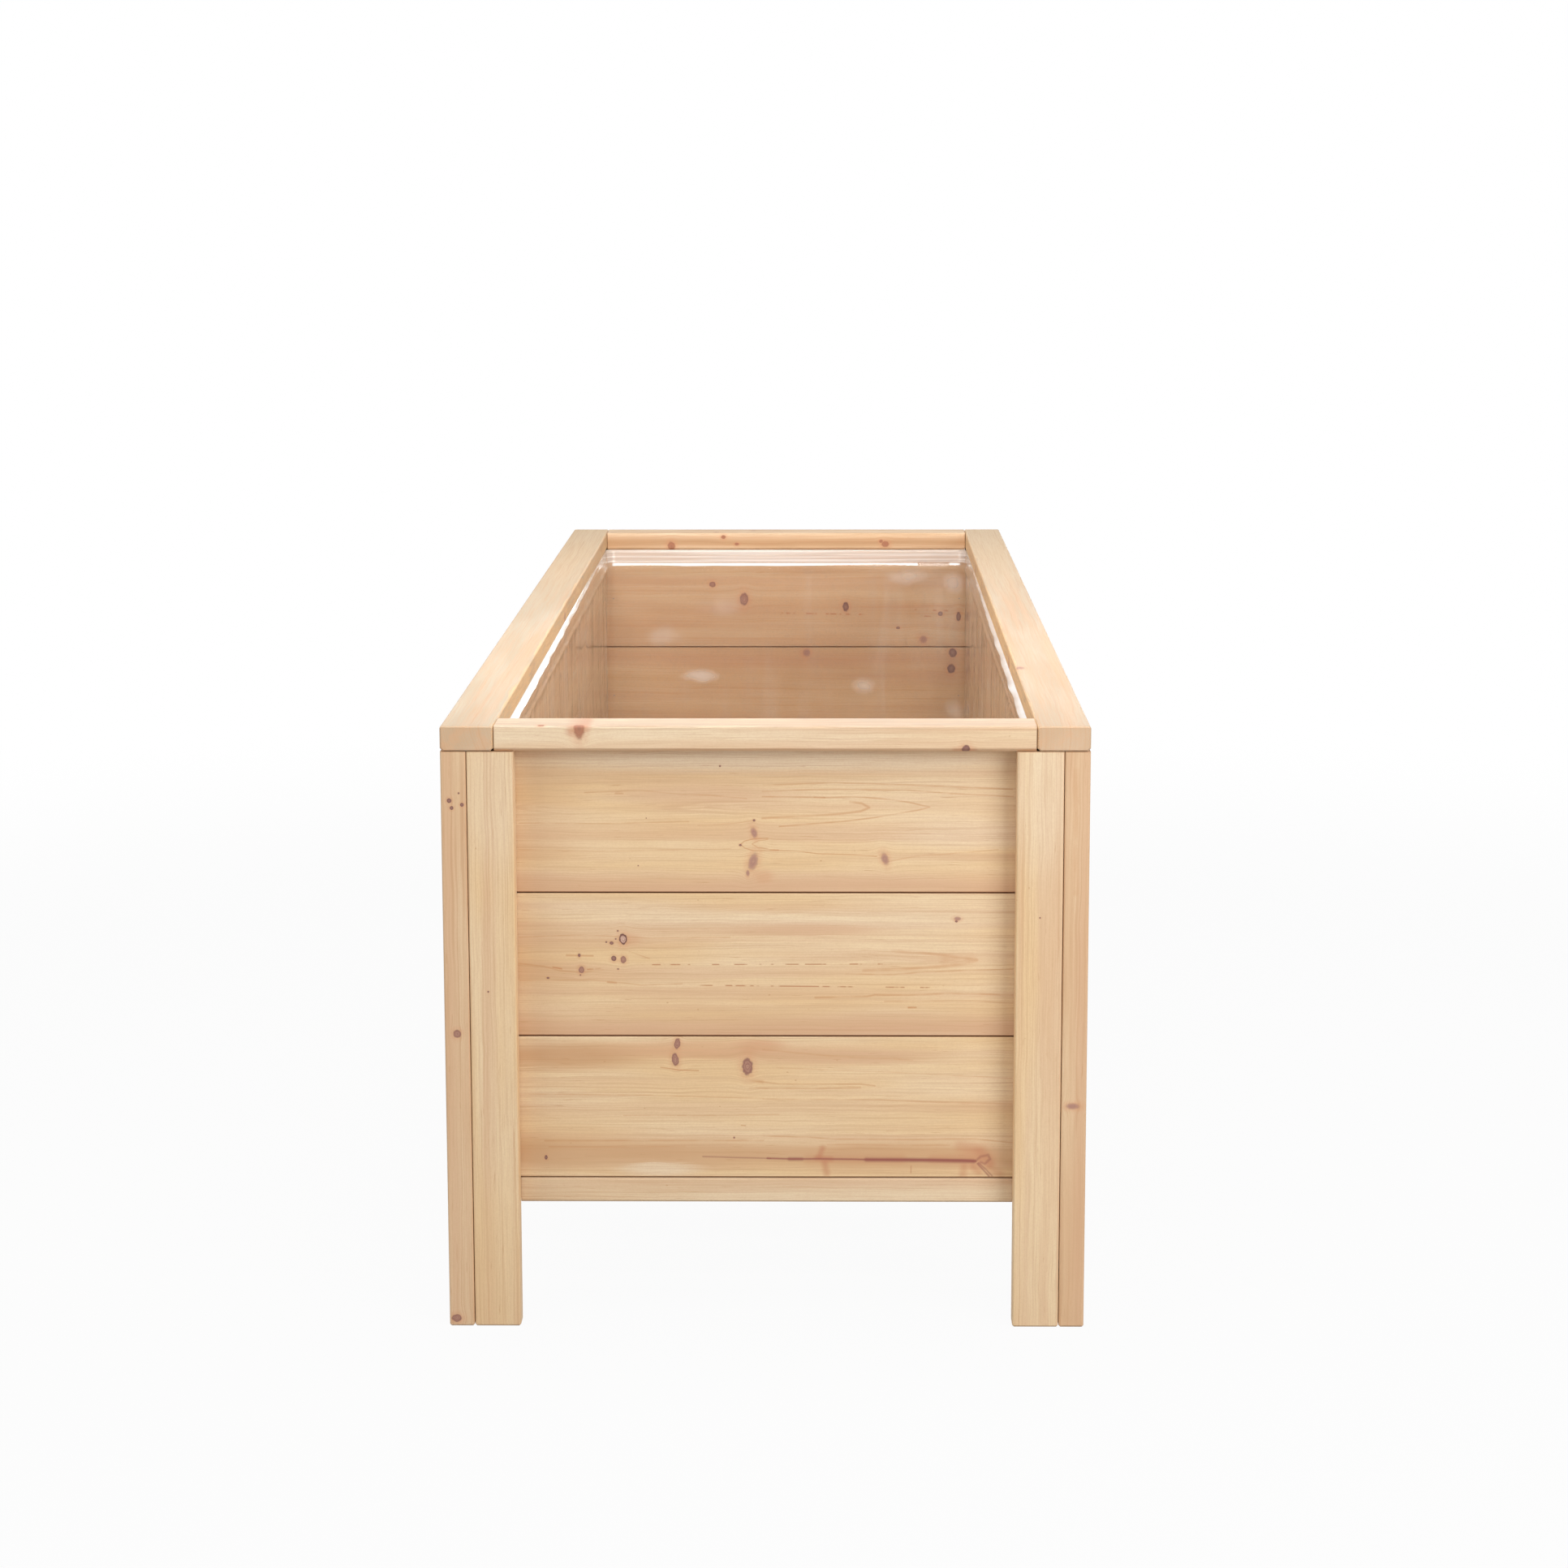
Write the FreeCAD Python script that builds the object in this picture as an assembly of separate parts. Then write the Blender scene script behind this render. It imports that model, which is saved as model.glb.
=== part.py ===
"""Raised garden bed in knotty softwood, millimetres.

The bed stands with its centre over the origin and its feet on Z = 0. Its length runs along Y and its
width along X; the end with the lower Y is called the front. Each corner leg is two boards that meet
in an L. Tongue-and-groove boards make the four walls, a rim of four cap boards closes them, and a
frame of bottom rails carries the floor slats. A clear film liner hangs inside, its edge clamped
under the caps. Every nail, staple and screw is a solid of its own, seated in a hole of its shape.
"""

import FreeCAD, Part
import math
import os

from FreeCAD import Vector

# Overall sizes
bed_length = 1829.0
bed_width = 610.0
floor_clearance = 117.0  # ground to the underside of the bottom rails

# Corner legs: a wide board on the long side and a narrow one on the end, edge to edge
leg_thickness = 24.0
side_leg_width = 68.0
end_leg_width = 44.0
leg_joint_gap = 0.6  # shadow line between the two boards of a leg
leg_ease = 2.2  # rounding of the long edges
leg_end_ease = 1.6  # bevel round the foot

# Wall boards, stacked with tongues up
board_count = 3
board_thickness = 24.0
board_height = 139.0  # face height without the tongue
board_seam = 0.8  # open seam under each board
board_ease = 1.2
tongue_width = 7.0
tongue_height = 7.0
tongue_side_clearance = 0.2  # on each face of the tongue
tongue_tip_clearance = 1.2
board_end_gap = 0.5  # between a board's end and what it butts against

# Rim
cap_width = 50.0
cap_thickness = 24.0
cap_ease = 2.8
cap_end_ease = 1.4
cap_joint_gap = 0.8  # between the end of an end cap and a side cap
cap_seat_clearance = 0.1  # over the liner's clamped edge

# Bottom rails
rail_width = 44.0
rail_thickness = 24.0
rail_ease = 1.8
rail_joint_gap = 0.5

# Floor
slat_count = 15
slat_width = 100.0
slat_thickness = 18.0
slat_ease = 1.5
slat_end_gap = 2.0
end_slat_gap = 10.0  # between the first or last slat and the end wall

# Liner
film_thickness = 0.5
liner_standoff = 3.0  # from the wall boards to the hanging film
liner_lip_drop = 19.0  # height over which the film leaves the wall under the cap
liner_lip_clearance = 0.3
liner_flange_width = 18.0  # the edge clamped between wall and cap
liner_corner_radius = 12.0
drain_slit_length = 60.0
drain_slit_width = 2.0

# Fasteners
screw_sides = 8
screw_radius = 2.5
screw_head_radius = 4.6
screw_head_height = 3.2
screw_tip_height = 6.0
long_screw_length = 60.0
short_screw_length = 38.0
brad_width = 1.6
brad_thickness = 1.2
brad_length = 36.0
brad_point_length = 2.5
staple_crown = 5.7
staple_wire_width = 1.2
staple_wire_thickness = 1.0
staple_leg_length = 38.0
staple_point_height = 1.5
staple_sink = 0.3  # crown below the face of the cap

# Where fasteners sit
corner_screw_end_distance = 60.0  # from the top and the foot of a leg; one more is at the middle
side_staple_rows = (83.0, 605.0)  # from each end of the bed, on the side caps
side_staple_shift = 4.0  # from the middle of the side wall towards the inside
end_staple_offset = 123.5  # from the outside of the bed, on the end caps
rail_screw_count = 5
rail_screw_end_distance = 115.0
end_rail_screw_count = 3
end_rail_screw_spacing = 150.0

# Derived places
half_length = bed_length / 2
half_width = bed_width / 2
rail_top = floor_clearance + rail_thickness
board_pitch = board_height + board_seam
wall_top = rail_top + board_count * board_pitch
cap_bottom = wall_top + film_thickness + cap_seat_clearance
cap_top = cap_bottom + cap_thickness
slat_top = rail_top + slat_thickness
inner_half_width = half_width - leg_thickness - board_thickness
inner_half_length = half_length - leg_thickness - board_thickness
side_wall_middle = half_width - leg_thickness - board_thickness / 2
end_wall_middle = half_length - leg_thickness - board_thickness / 2
end_leg_outside = half_width - leg_thickness - leg_joint_gap
end_leg_inside = end_leg_outside - end_leg_width

# Which corners of a plank's section are rounded; the rest are bevelled
OUTER_CORNERS = (True, True, False, True)
FRONT_CORNERS = (True, True, False, False)
TOP_CORNERS = (False, False, True, True)
NO_CORNERS = (False, False, False, False)

SIDES = {"left": -1, "right": 1}
ENDS = {"front": -1, "rear": 1}


# ---- shapes -----------------------------------------------------------------------------------


def box(x_range, y_range, z_range):
    """A box between two values on each axis, given in any order."""
    lows = [min(pair) for pair in (x_range, y_range, z_range)]
    sizes = [abs(pair[1] - pair[0]) for pair in (x_range, y_range, z_range)]
    return Part.makeBox(*sizes, Vector(*lows))


def bevel_ends(plank, planes, bevel):
    """The plank with a bevel round each end that lies in one of the planes, as (axis, place)."""
    edges = []
    for axis, place in planes:
        for edge in plank.Edges:
            places = [getattr(vertex.Point, axis) for vertex in edge.Vertexes]
            if all(abs(value - place) < 1e-6 for value in places):
                edges.append(edge)
    return plank.makeChamfer(bevel, edges)


class Outline:
    """A closed outline in a plane, drawn corner by corner, rounded or bevelled where asked."""

    def __init__(self, to_point):
        self.to_point = to_point
        self.corners = []

    def add(self, u, v, ease=0.0, rounded=True):
        self.corners.append((Vector(u, v, 0), ease, rounded))

    def corner_points(self, index):
        """Where the easing of a corner starts, the middle of its arc and where it ends."""
        corner, ease, _ = self.corners[index]
        before = self.corners[index - 1][0] - corner
        after = self.corners[(index + 1) % len(self.corners)][0] - corner
        before.normalize()
        after.normalize()
        start = corner + before * ease
        end = corner + after * ease
        centre = corner + (before + after) * ease
        towards = corner - centre
        if ease:
            towards.normalize()
        return start, centre + towards * ease, end

    def face(self):
        edges = []
        count = len(self.corners)
        for index in range(count):
            start, middle, end = [self.to_point(p.x, p.y) for p in self.corner_points(index)]
            following = self.to_point(*self.corner_points((index + 1) % count)[0][:2])
            _, ease, rounded = self.corners[index]
            if ease and rounded:
                edges.append(Part.Arc(start, middle, end).toShape())
            elif ease:
                edges.append(Part.makeLine(start, end))
            edges.append(Part.makeLine(end, following))
        return Part.Face(Part.Wire(edges))


def board_outline(to_point, groove, tongue):
    """Section of a wall board: u from its inner face to its outer face, v up its height."""
    middle = board_thickness / 2
    outline = Outline(to_point)
    outline.add(0, 0, board_ease, rounded=False)
    if groove:
        half = tongue_width / 2 + tongue_side_clearance
        depth = tongue_height - board_seam + tongue_tip_clearance
        outline.add(middle - half, 0)
        outline.add(middle - half, depth)
        outline.add(middle + half, depth)
        outline.add(middle + half, 0)
    outline.add(board_thickness, 0, board_ease)
    outline.add(board_thickness, board_height, board_ease)
    if tongue:
        half = tongue_width / 2
        outline.add(middle + half, board_height)
        outline.add(middle + half, board_height + tongue_height)
        outline.add(middle - half, board_height + tongue_height)
        outline.add(middle - half, board_height)
    outline.add(0, board_height, board_ease, rounded=False)
    return outline.face()


def plank_outline(to_point, width, thickness, ease, rounded=(True, True, True, True)):
    """Section of a plain plank. Each corner is rounded or bevelled, in the order of the corners."""
    outline = Outline(to_point)
    corners = ((0, 0), (width, 0), (width, thickness), (0, thickness))
    for (u, v), is_round in zip(corners, rounded):
        outline.add(u, v, ease, is_round)
    return outline.face()


def rounded_rectangle(half_x, half_y, radius, z):
    """A level closed wire round the middle of the bed."""
    outline = Outline(lambda u, v: Vector(u, v, z))
    for u, v in ((-half_x, -half_y), (half_x, -half_y), (half_x, half_y), (-half_x, half_y)):
        outline.add(u, v, radius)
    return outline.face().OuterWire


# ---- fasteners --------------------------------------------------------------------------------


def faceted(profile, position, direction):
    """A solid with flat sides from (radius, depth) points, its head at position."""
    turns = [2 * math.pi * index / screw_sides for index in range(screw_sides)]
    rings = []
    for radius, depth in profile[:-1]:
        rings.append([Vector(radius * math.cos(a), radius * math.sin(a), depth) for a in turns])
    tip = Vector(0, 0, profile[-1][1])
    outlines = [rings[0]]
    for index in range(screw_sides):
        following = (index + 1) % screw_sides
        for above, below in zip(rings, rings[1:]):
            outlines.append([above[index], above[following], below[following], below[index]])
        outlines.append([rings[-1][index], rings[-1][following], tip])
    return placed(closed_solid(outlines), position, direction)


def closed_solid(outlines):
    """A solid from the corner points of its flat faces."""
    faces = [Part.Face(Part.makePolygon(points + points[:1])) for points in outlines]
    shell = Part.Shell(faces)
    shell.sewShape()
    solid = Part.Solid(shell)
    if solid.Volume < 0:
        solid.reverse()
    return solid


def placed(solid, position, direction):
    """The solid moved from the origin to position, its +Z turned to direction."""
    solid.Placement = FreeCAD.Placement(position, FreeCAD.Rotation(Vector(0, 0, 1), direction))
    return solid


def screw(position, direction, length):
    """Countersunk wood screw, head flush with the face at position."""
    profile = [
        (screw_head_radius, 0),
        (screw_radius, screw_head_height),
        (screw_radius, length - screw_tip_height),
        (0, length),
    ]
    return faceted(profile, position, direction)


def brad(position, direction):
    """Headless pin cut from flat wire with a chisel point, flush with the face at position."""
    half = brad_width / 2
    shoulder = brad_length - brad_point_length
    outline = [(-half, 0), (half, 0), (half, shoulder), (0, brad_length), (-half, shoulder)]
    points = [Vector(u, -brad_thickness / 2, v) for u, v in outline]
    face = Part.Face(Part.makePolygon(points + points[:1]))
    return placed(face.extrude(Vector(0, brad_thickness, 0)), position, direction)


def staple(x, y, turn):
    """Narrow crown staple driven down through a cap, its crown across the board."""
    half = staple_crown / 2
    inside = half - staple_wire_width
    foot = -staple_leg_length
    outline = [
        (-half, 0),
        (half, 0),
        (half, foot + staple_point_height),
        (inside, foot),
        (inside, -staple_wire_width),
        (-inside, -staple_wire_width),
        (-inside, foot),
        (-half, foot + staple_point_height),
    ]
    points = [Vector(u, -staple_wire_thickness / 2, v) for u, v in outline]
    face = Part.Face(Part.makePolygon(points + points[:1]))
    solid = face.extrude(Vector(0, staple_wire_thickness, 0))
    solid.rotate(Vector(0, 0, 0), Vector(0, 0, 1), turn)
    solid.translate(Vector(x, y, cap_top - staple_sink))
    return solid


# ---- wooden pieces ----------------------------------------------------------------------------


def leg_boards():
    """Two boards for each corner, by node name."""
    made = {}
    rise = Vector(0, 0, wall_top)
    for end, along in ENDS.items():
        for side, across in SIDES.items():
            outside = Vector(across * half_width, along * half_length, 0)
            face = plank_outline(
                lambda u, v: outside - Vector(across * u, along * v, 0),
                leg_thickness,
                side_leg_width,
                leg_ease,
                OUTER_CORNERS,
            )
            board = bevel_ends(face.extrude(rise), [("z", 0)], leg_end_ease)
            made[f"leg_side_board_{end}_{side}"] = board
            corner = Vector(across * end_leg_outside, along * half_length, 0)
            face = plank_outline(
                lambda u, v: corner - Vector(across * u, along * v, 0),
                end_leg_width,
                leg_thickness,
                leg_ease,
                FRONT_CORNERS,
            )
            board = bevel_ends(face.extrude(rise), [("z", 0)], leg_end_ease)
            made[f"leg_end_board_{end}_{side}"] = board
    return made


def wall_boards():
    """The stacked boards of the four walls, numbered from the bottom."""
    made = {}
    side_half = half_length - leg_thickness - board_end_gap
    end_half = inner_half_width - board_end_gap
    for row in range(board_count):
        groove = row > 0
        tongue = row < board_count - 1
        bottom = rail_top + board_seam + row * board_pitch
        for side, across in SIDES.items():
            inner = across * inner_half_width
            face = board_outline(
                lambda u, v: Vector(inner + across * u, -side_half, bottom + v), groove, tongue
            )
            made[f"side_board_{side}_{row + 1}"] = face.extrude(Vector(0, 2 * side_half, 0))
        for end, along in ENDS.items():
            inner = along * inner_half_length
            face = board_outline(
                lambda u, v: Vector(-end_half, inner + along * u, bottom + v), groove, tongue
            )
            made[f"end_board_{end}_{row + 1}"] = face.extrude(Vector(2 * end_half, 0, 0))
    return made


def rim_caps():
    """Two full-length side caps with the end caps between them."""
    made = {}
    for side, across in SIDES.items():
        outside = across * half_width
        face = plank_outline(
            lambda u, v: Vector(outside - across * u, -half_length, cap_bottom + v),
            cap_width,
            cap_thickness,
            cap_ease,
            TOP_CORNERS,
        )
        cap = face.extrude(Vector(0, 2 * half_length, 0))
        ends = [("y", -half_length), ("y", half_length)]
        made[f"rim_cap_{side}"] = bevel_ends(cap, ends, cap_end_ease)
    end_half = half_width - cap_width - cap_joint_gap
    for end, along in ENDS.items():
        outside = along * half_length
        face = plank_outline(
            lambda u, v: Vector(-end_half, outside - along * u, cap_bottom + v),
            cap_width,
            cap_thickness,
            cap_ease,
            TOP_CORNERS,
        )
        made[f"rim_cap_{end}"] = face.extrude(Vector(2 * end_half, 0, 0))
    return made


def bottom_rails():
    """Flat rails under the walls. Their inner edges are the ledge for the floor."""
    made = {}
    side_half = half_length - leg_thickness - rail_joint_gap
    for side, across in SIDES.items():
        outside = across * (half_width - leg_thickness)
        face = plank_outline(
            lambda u, v: Vector(outside - across * u, -side_half, floor_clearance + v),
            rail_width,
            rail_thickness,
            rail_ease,
            NO_CORNERS,
        )
        made[f"bottom_rail_{side}"] = face.extrude(Vector(0, 2 * side_half, 0))
    end_half = half_width - leg_thickness - rail_width - rail_joint_gap
    for end, along in ENDS.items():
        outside = along * (half_length - leg_thickness)
        face = plank_outline(
            lambda u, v: Vector(-end_half, outside - along * u, floor_clearance + v),
            rail_width,
            rail_thickness,
            rail_ease,
            NO_CORNERS,
        )
        made[f"bottom_rail_{end}"] = face.extrude(Vector(2 * end_half, 0, 0))
    return made


def slat_centres():
    """Y of the middle of each floor slat: the end slats bear on the end rails, the rest fill in."""
    first = end_slat_gap + slat_width / 2 - inner_half_length
    pitch = -2 * first / (slat_count - 1)
    return [first + index * pitch for index in range(slat_count)]


def floor_slats():
    made = {}
    half = inner_half_width - slat_end_gap
    for number, centre in enumerate(slat_centres(), start=1):
        face = plank_outline(
            lambda u, v: Vector(-half, centre - slat_width / 2 + u, rail_top + v),
            slat_width,
            slat_thickness,
            slat_ease,
            NO_CORNERS,
        )
        made[f"floor_slat_{number:02d}"] = face.extrude(Vector(2 * half, 0, 0))
    return made


# ---- liner ------------------------------------------------------------------------------------


def liner_body(inset, lowest, highest):
    """The space inside one skin of the hanging film, from its floor up to the lip."""
    radius = liner_corner_radius - inset
    sections = [
        (liner_standoff, lowest),
        (liner_standoff, wall_top - liner_lip_drop),
        (liner_lip_clearance, highest),
    ]
    wires = []
    for distance, z in sections:
        half_x = inner_half_width - distance - inset
        half_y = inner_half_length - distance - inset
        wires.append(rounded_rectangle(half_x, half_y, radius, z))
    return Part.makeLoft(wires, True, True)


def drain_slits():
    """Upright blades that cut a drain slit over each gap between slats."""
    centres = slat_centres()
    blades = []
    for before, after in zip(centres, centres[1:]):
        middle = (before + after) / 2
        blade = box(
            (-drain_slit_length / 2, drain_slit_length / 2),
            (middle - drain_slit_width / 2, middle + drain_slit_width / 2),
            (slat_top - film_thickness, slat_top + 2 * film_thickness),
        )
        blades.append(blade)
    return blades


def liner():
    """A clear film tub, open at the top, with a flange that lies on the walls."""
    flange_top = wall_top + film_thickness
    outer = liner_body(0.0, slat_top, flange_top)
    hollow = liner_body(film_thickness, slat_top + film_thickness, flange_top)
    reach_x = inner_half_width + liner_flange_width
    reach_y = inner_half_length + liner_flange_width
    flange = Part.Face(rounded_rectangle(reach_x, reach_y, liner_corner_radius, wall_top))
    flange = flange.extrude(Vector(0, 0, film_thickness))
    return outer.fuse(flange).cut(hollow).removeSplitter().cut(drain_slits())


# ---- fixings ----------------------------------------------------------------------------------


def cap_staples():
    """Staples that hold the caps to the walls, on the line of the wall boards."""
    made = []
    for across in SIDES.values():
        for along in ENDS.values():
            x = across * (side_wall_middle - side_staple_shift)
            for row in side_staple_rows:
                made.append(staple(x, along * (half_length - row), 0))
            x = across * (half_width - end_staple_offset)
            made.append(staple(x, along * end_wall_middle, 0))
    return made


def corner_screws():
    """Screws through each side leg board into the edge of the end leg board."""
    heights = (corner_screw_end_distance, wall_top / 2, wall_top - corner_screw_end_distance)
    made = []
    for across in SIDES.values():
        for along in ENDS.values():
            for height in heights:
                y = along * (half_length - leg_thickness / 2)
                position = Vector(across * half_width, y, height)
                made.append(screw(position, Vector(-across, 0, 0), long_screw_length))
    return made


def row_middle(row):
    return rail_top + board_seam + row * board_pitch + board_height / 2


def side_wall_screws():
    """Screws from inside, through each side board into the side leg board behind it."""
    clear_of_end_wall = leg_thickness + board_thickness
    y_distance = (clear_of_end_wall + side_leg_width) / 2
    made = []
    for across in SIDES.values():
        for along in ENDS.values():
            for row in range(board_count):
                y = along * (half_length - y_distance)
                position = Vector(across * inner_half_width, y, row_middle(row))
                made.append(screw(position, Vector(across, 0, 0), short_screw_length))
    return made


def end_wall_brads():
    """Pins from inside, through each end board into the end leg board behind it."""
    x_distance = (inner_half_width + end_leg_inside) / 2
    made = []
    for along in ENDS.values():
        for across in SIDES.values():
            for row in range(board_count):
                position = Vector(across * x_distance, along * inner_half_length, row_middle(row))
                made.append(brad(position, Vector(0, along, 0)))
    return made


def rail_screws():
    """Screws up into the lowest boards, and across from the side rails into the side legs."""
    made = []
    reach = half_length - rail_screw_end_distance
    step = 2 * reach / (rail_screw_count - 1)
    for across in SIDES.values():
        for index in range(rail_screw_count):
            position = Vector(across * side_wall_middle, index * step - reach, floor_clearance)
            made.append(screw(position, Vector(0, 0, 1), long_screw_length))
        for along in ENDS.values():
            x = across * (half_width - leg_thickness - rail_width)
            y = along * (half_length - (leg_thickness + side_leg_width) / 2)
            position = Vector(x, y, floor_clearance + rail_thickness / 2)
            made.append(screw(position, Vector(across, 0, 0), long_screw_length))
    for along in ENDS.values():
        for index in range(end_rail_screw_count):
            x = (index - (end_rail_screw_count - 1) / 2) * end_rail_screw_spacing
            position = Vector(x, along * end_wall_middle, floor_clearance)
            made.append(screw(position, Vector(0, 0, 1), long_screw_length))
    return made


def slat_brads():
    """One pin through each end of each slat into the side rail."""
    slat_end = inner_half_width - slat_end_gap
    rail_edge = half_width - leg_thickness - rail_width
    x = (slat_end + rail_edge) / 2
    made = []
    for centre in slat_centres():
        for across in SIDES.values():
            made.append(brad(Vector(across * x, centre, slat_top), Vector(0, 0, -1)))
    return made


# ---- assembly ---------------------------------------------------------------------------------


def reaches(first, second):
    return first.BoundBox.intersect(second.BoundBox)


def seat(piece, fasteners):
    """The piece with a hole for each fastener that enters it."""
    tools = [solid for solid in fasteners if reaches(piece, solid)]
    return piece.cut(tools) if tools else piece


def build():
    pieces = {}
    for group in (leg_boards, wall_boards, rim_caps, bottom_rails, floor_slats):
        pieces.update(group())
    pieces["liner"] = liner()
    fixings = {
        "cap_staples": cap_staples(),
        "corner_screws": corner_screws(),
        "side_wall_screws": side_wall_screws(),
        "end_wall_brads": end_wall_brads(),
        "rail_screws": rail_screws(),
        "slat_brads": slat_brads(),
    }
    fasteners = [solid for group in fixings.values() for solid in group]
    nodes = {name: seat(piece, fasteners) for name, piece in pieces.items()}
    nodes.update({name: Part.makeCompound(group) for name, group in fixings.items()})
    return nodes


def main():
    os.makedirs("parts", exist_ok=True)
    for name, shape in build().items():
        for solid in shape.Solids:
            if not solid.isValid():
                raise ValueError(f"{name} has a faulty solid")
        shape.exportStep(f"parts/{name}.step")
        print(f"{name}: {len(shape.Solids)} solid(s), {shape.Volume / 1000:.1f} cm3")


main()
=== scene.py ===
import math
import random

import bmesh
import bpy
from mathutils import Matrix, Vector, noise


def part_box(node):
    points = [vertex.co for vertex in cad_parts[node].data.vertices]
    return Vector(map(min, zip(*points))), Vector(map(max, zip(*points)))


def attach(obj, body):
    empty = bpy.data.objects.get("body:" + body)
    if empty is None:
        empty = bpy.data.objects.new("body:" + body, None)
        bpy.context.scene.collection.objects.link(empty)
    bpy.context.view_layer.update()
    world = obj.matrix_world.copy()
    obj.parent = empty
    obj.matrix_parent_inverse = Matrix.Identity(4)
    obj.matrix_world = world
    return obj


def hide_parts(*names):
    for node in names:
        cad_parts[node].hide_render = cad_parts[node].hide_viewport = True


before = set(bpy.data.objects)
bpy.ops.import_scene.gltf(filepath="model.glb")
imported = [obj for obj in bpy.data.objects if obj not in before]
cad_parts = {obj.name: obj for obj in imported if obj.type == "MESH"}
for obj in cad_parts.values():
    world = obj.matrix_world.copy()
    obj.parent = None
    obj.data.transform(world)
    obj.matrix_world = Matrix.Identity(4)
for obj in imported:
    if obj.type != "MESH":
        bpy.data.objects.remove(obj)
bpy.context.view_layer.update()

body = "root"
mm = 0.001
toMm = 1000
boardFace = 139.0  # mm of a wall board that show between its seams
print("frame loaded,", len(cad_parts), "nodes")


# small tools

def paint(red, green, blue):  # a screen colour as the linear one that shaders take
    def linear(value):
        share = value / 255
        return share / 12.92 if share <= 0.04045 else ((share + 0.055) / 1.055) ** 2.4
    return (linear(red), linear(green), linear(blue), 1.0)


def boxInMm(name):
    return [[value * toMm for value in corner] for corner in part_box(name)]


class Signal:  # an output socket of a node tree that can stand in a sum
    def __init__(self, tree, socket):
        self.tree = tree
        self.socket = socket

    def maths(self, operation, *values):
        return addNode(self.tree, "ShaderNodeMath", {"operation": operation}, dict(enumerate(values)))

    def __add__(self, other):
        return self.maths("ADD", self, other)

    def __sub__(self, other):
        return self.maths("SUBTRACT", self, other)

    def __rsub__(self, other):
        return self.maths("SUBTRACT", other, self)

    def __mul__(self, other):
        return self.maths("MULTIPLY", self, other)

    def __truediv__(self, other):
        return self.maths("DIVIDE", self, other)

    def __rtruediv__(self, other):
        return self.maths("DIVIDE", other, self)

    __radd__ = __add__
    __rmul__ = __mul__

    def above(self, other):
        return self.maths("MAXIMUM", self, other)

    def below(self, other):
        return self.maths("MINIMUM", self, other)

    def size(self):
        return self.maths("ABSOLUTE", self)

    def root(self):
        return self.maths("SQRT", self)

    def part(self):
        return self.maths("FRACT", self)

    def fade(self, start, end, low=0.0, high=1.0):  # smooth step from low at start to high at end
        kind, settings = "ShaderNodeMapRange", {"interpolation_type": "SMOOTHSTEP"}
        return addNode(self.tree, kind, settings, {0: self, 1: start, 2: end, 3: low, 4: high})


def addNode(tree, kind, settings=None, sockets=None, output=0):
    node = tree.nodes.new(kind)
    for name, value in (settings or {}).items():
        if name == "stops":
            ramp = node.color_ramp
            while len(ramp.elements) < len(value):
                ramp.elements.new(0.5)
            for element, (place, colour) in zip(ramp.elements, value):
                element.position, element.color = place, colour
        else:
            setattr(node, name, value)
    for name, value in (sockets or {}).items():
        if isinstance(value, Signal):
            tree.links.new(value.socket, node.inputs[name])
        else:
            node.inputs[name].default_value = value
    return Signal(tree, node.outputs[output])


def vector(tree, x, y, z):
    return addNode(tree, "ShaderNodeCombineXYZ", sockets={0: x, 1: y, 2: z})


def vectorNode(tree, operation, sockets, output="Vector"):
    return addNode(tree, "ShaderNodeVectorMath", {"operation": operation}, sockets, output)


def cloud(tree, place, detail=2.0, roughness=0.5):  # soft noise, about 0 to 1
    sockets = {"Vector": place, "Scale": 1.0, "Detail": detail, "Roughness": roughness}
    return addNode(tree, "ShaderNodeTexNoise", sockets=sockets)


def blend(factor, first, second):
    sockets = {0: factor, 6: first, 7: second}
    return addNode(factor.tree, "ShaderNodeMix", {"data_type": "RGBA"}, sockets, 2)


def threeAxes(tree, spot):
    return [addNode(tree, "ShaderNodeSeparateXYZ", sockets={0: spot}, output=index) for index in range(3)]


def millimetres(tree):  # the three Object coordinates
    spot = addNode(tree, "ShaderNodeTexCoord", output="Object")
    return [axis * toMm for axis in threeAxes(tree, spot)]


def seenAsWhite(tree):  # 1 for the camera, for a mirror and through something clear
    rays = ("Is Camera Ray", "Is Glossy Ray", "Is Transmission Ray")
    first, second, third = (addNode(tree, "ShaderNodeLightPath", output=ray) for ray in rays)
    return first.above(second).above(third)


def addThing(name, data):
    thing = bpy.data.objects.new(name, data)
    bpy.context.collection.objects.link(thing)
    return thing


def newMaterial(name):
    material = bpy.data.materials.new(name)
    material.use_nodes = True
    material.node_tree.nodes.clear()
    return material, material.node_tree


def surface(tree, shader):
    output = tree.nodes.new("ShaderNodeOutputMaterial")
    tree.links.new(shader.socket, output.inputs["Surface"])


def dress(name, material):
    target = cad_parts[name] if isinstance(name, str) else name
    target.data.materials.clear()
    target.data.materials.append(material)
    for face in target.data.polygons:
        face.material_index = 0


# camera, lamps and floor

view = {
    "place": (0.0573, -4.2434, 1.1050),
    "turn": -0.681,  # degrees to the left of straight along the bed
    "tip": 9.799,  # degrees down
    "roll": 0.085,
    "focus": 4439.7,  # in pixels of the square picture
    "pixels": 1932.0,
    "sensor": 36,
    "nearest": 0.05,
    "farthest": 400,
}


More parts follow.
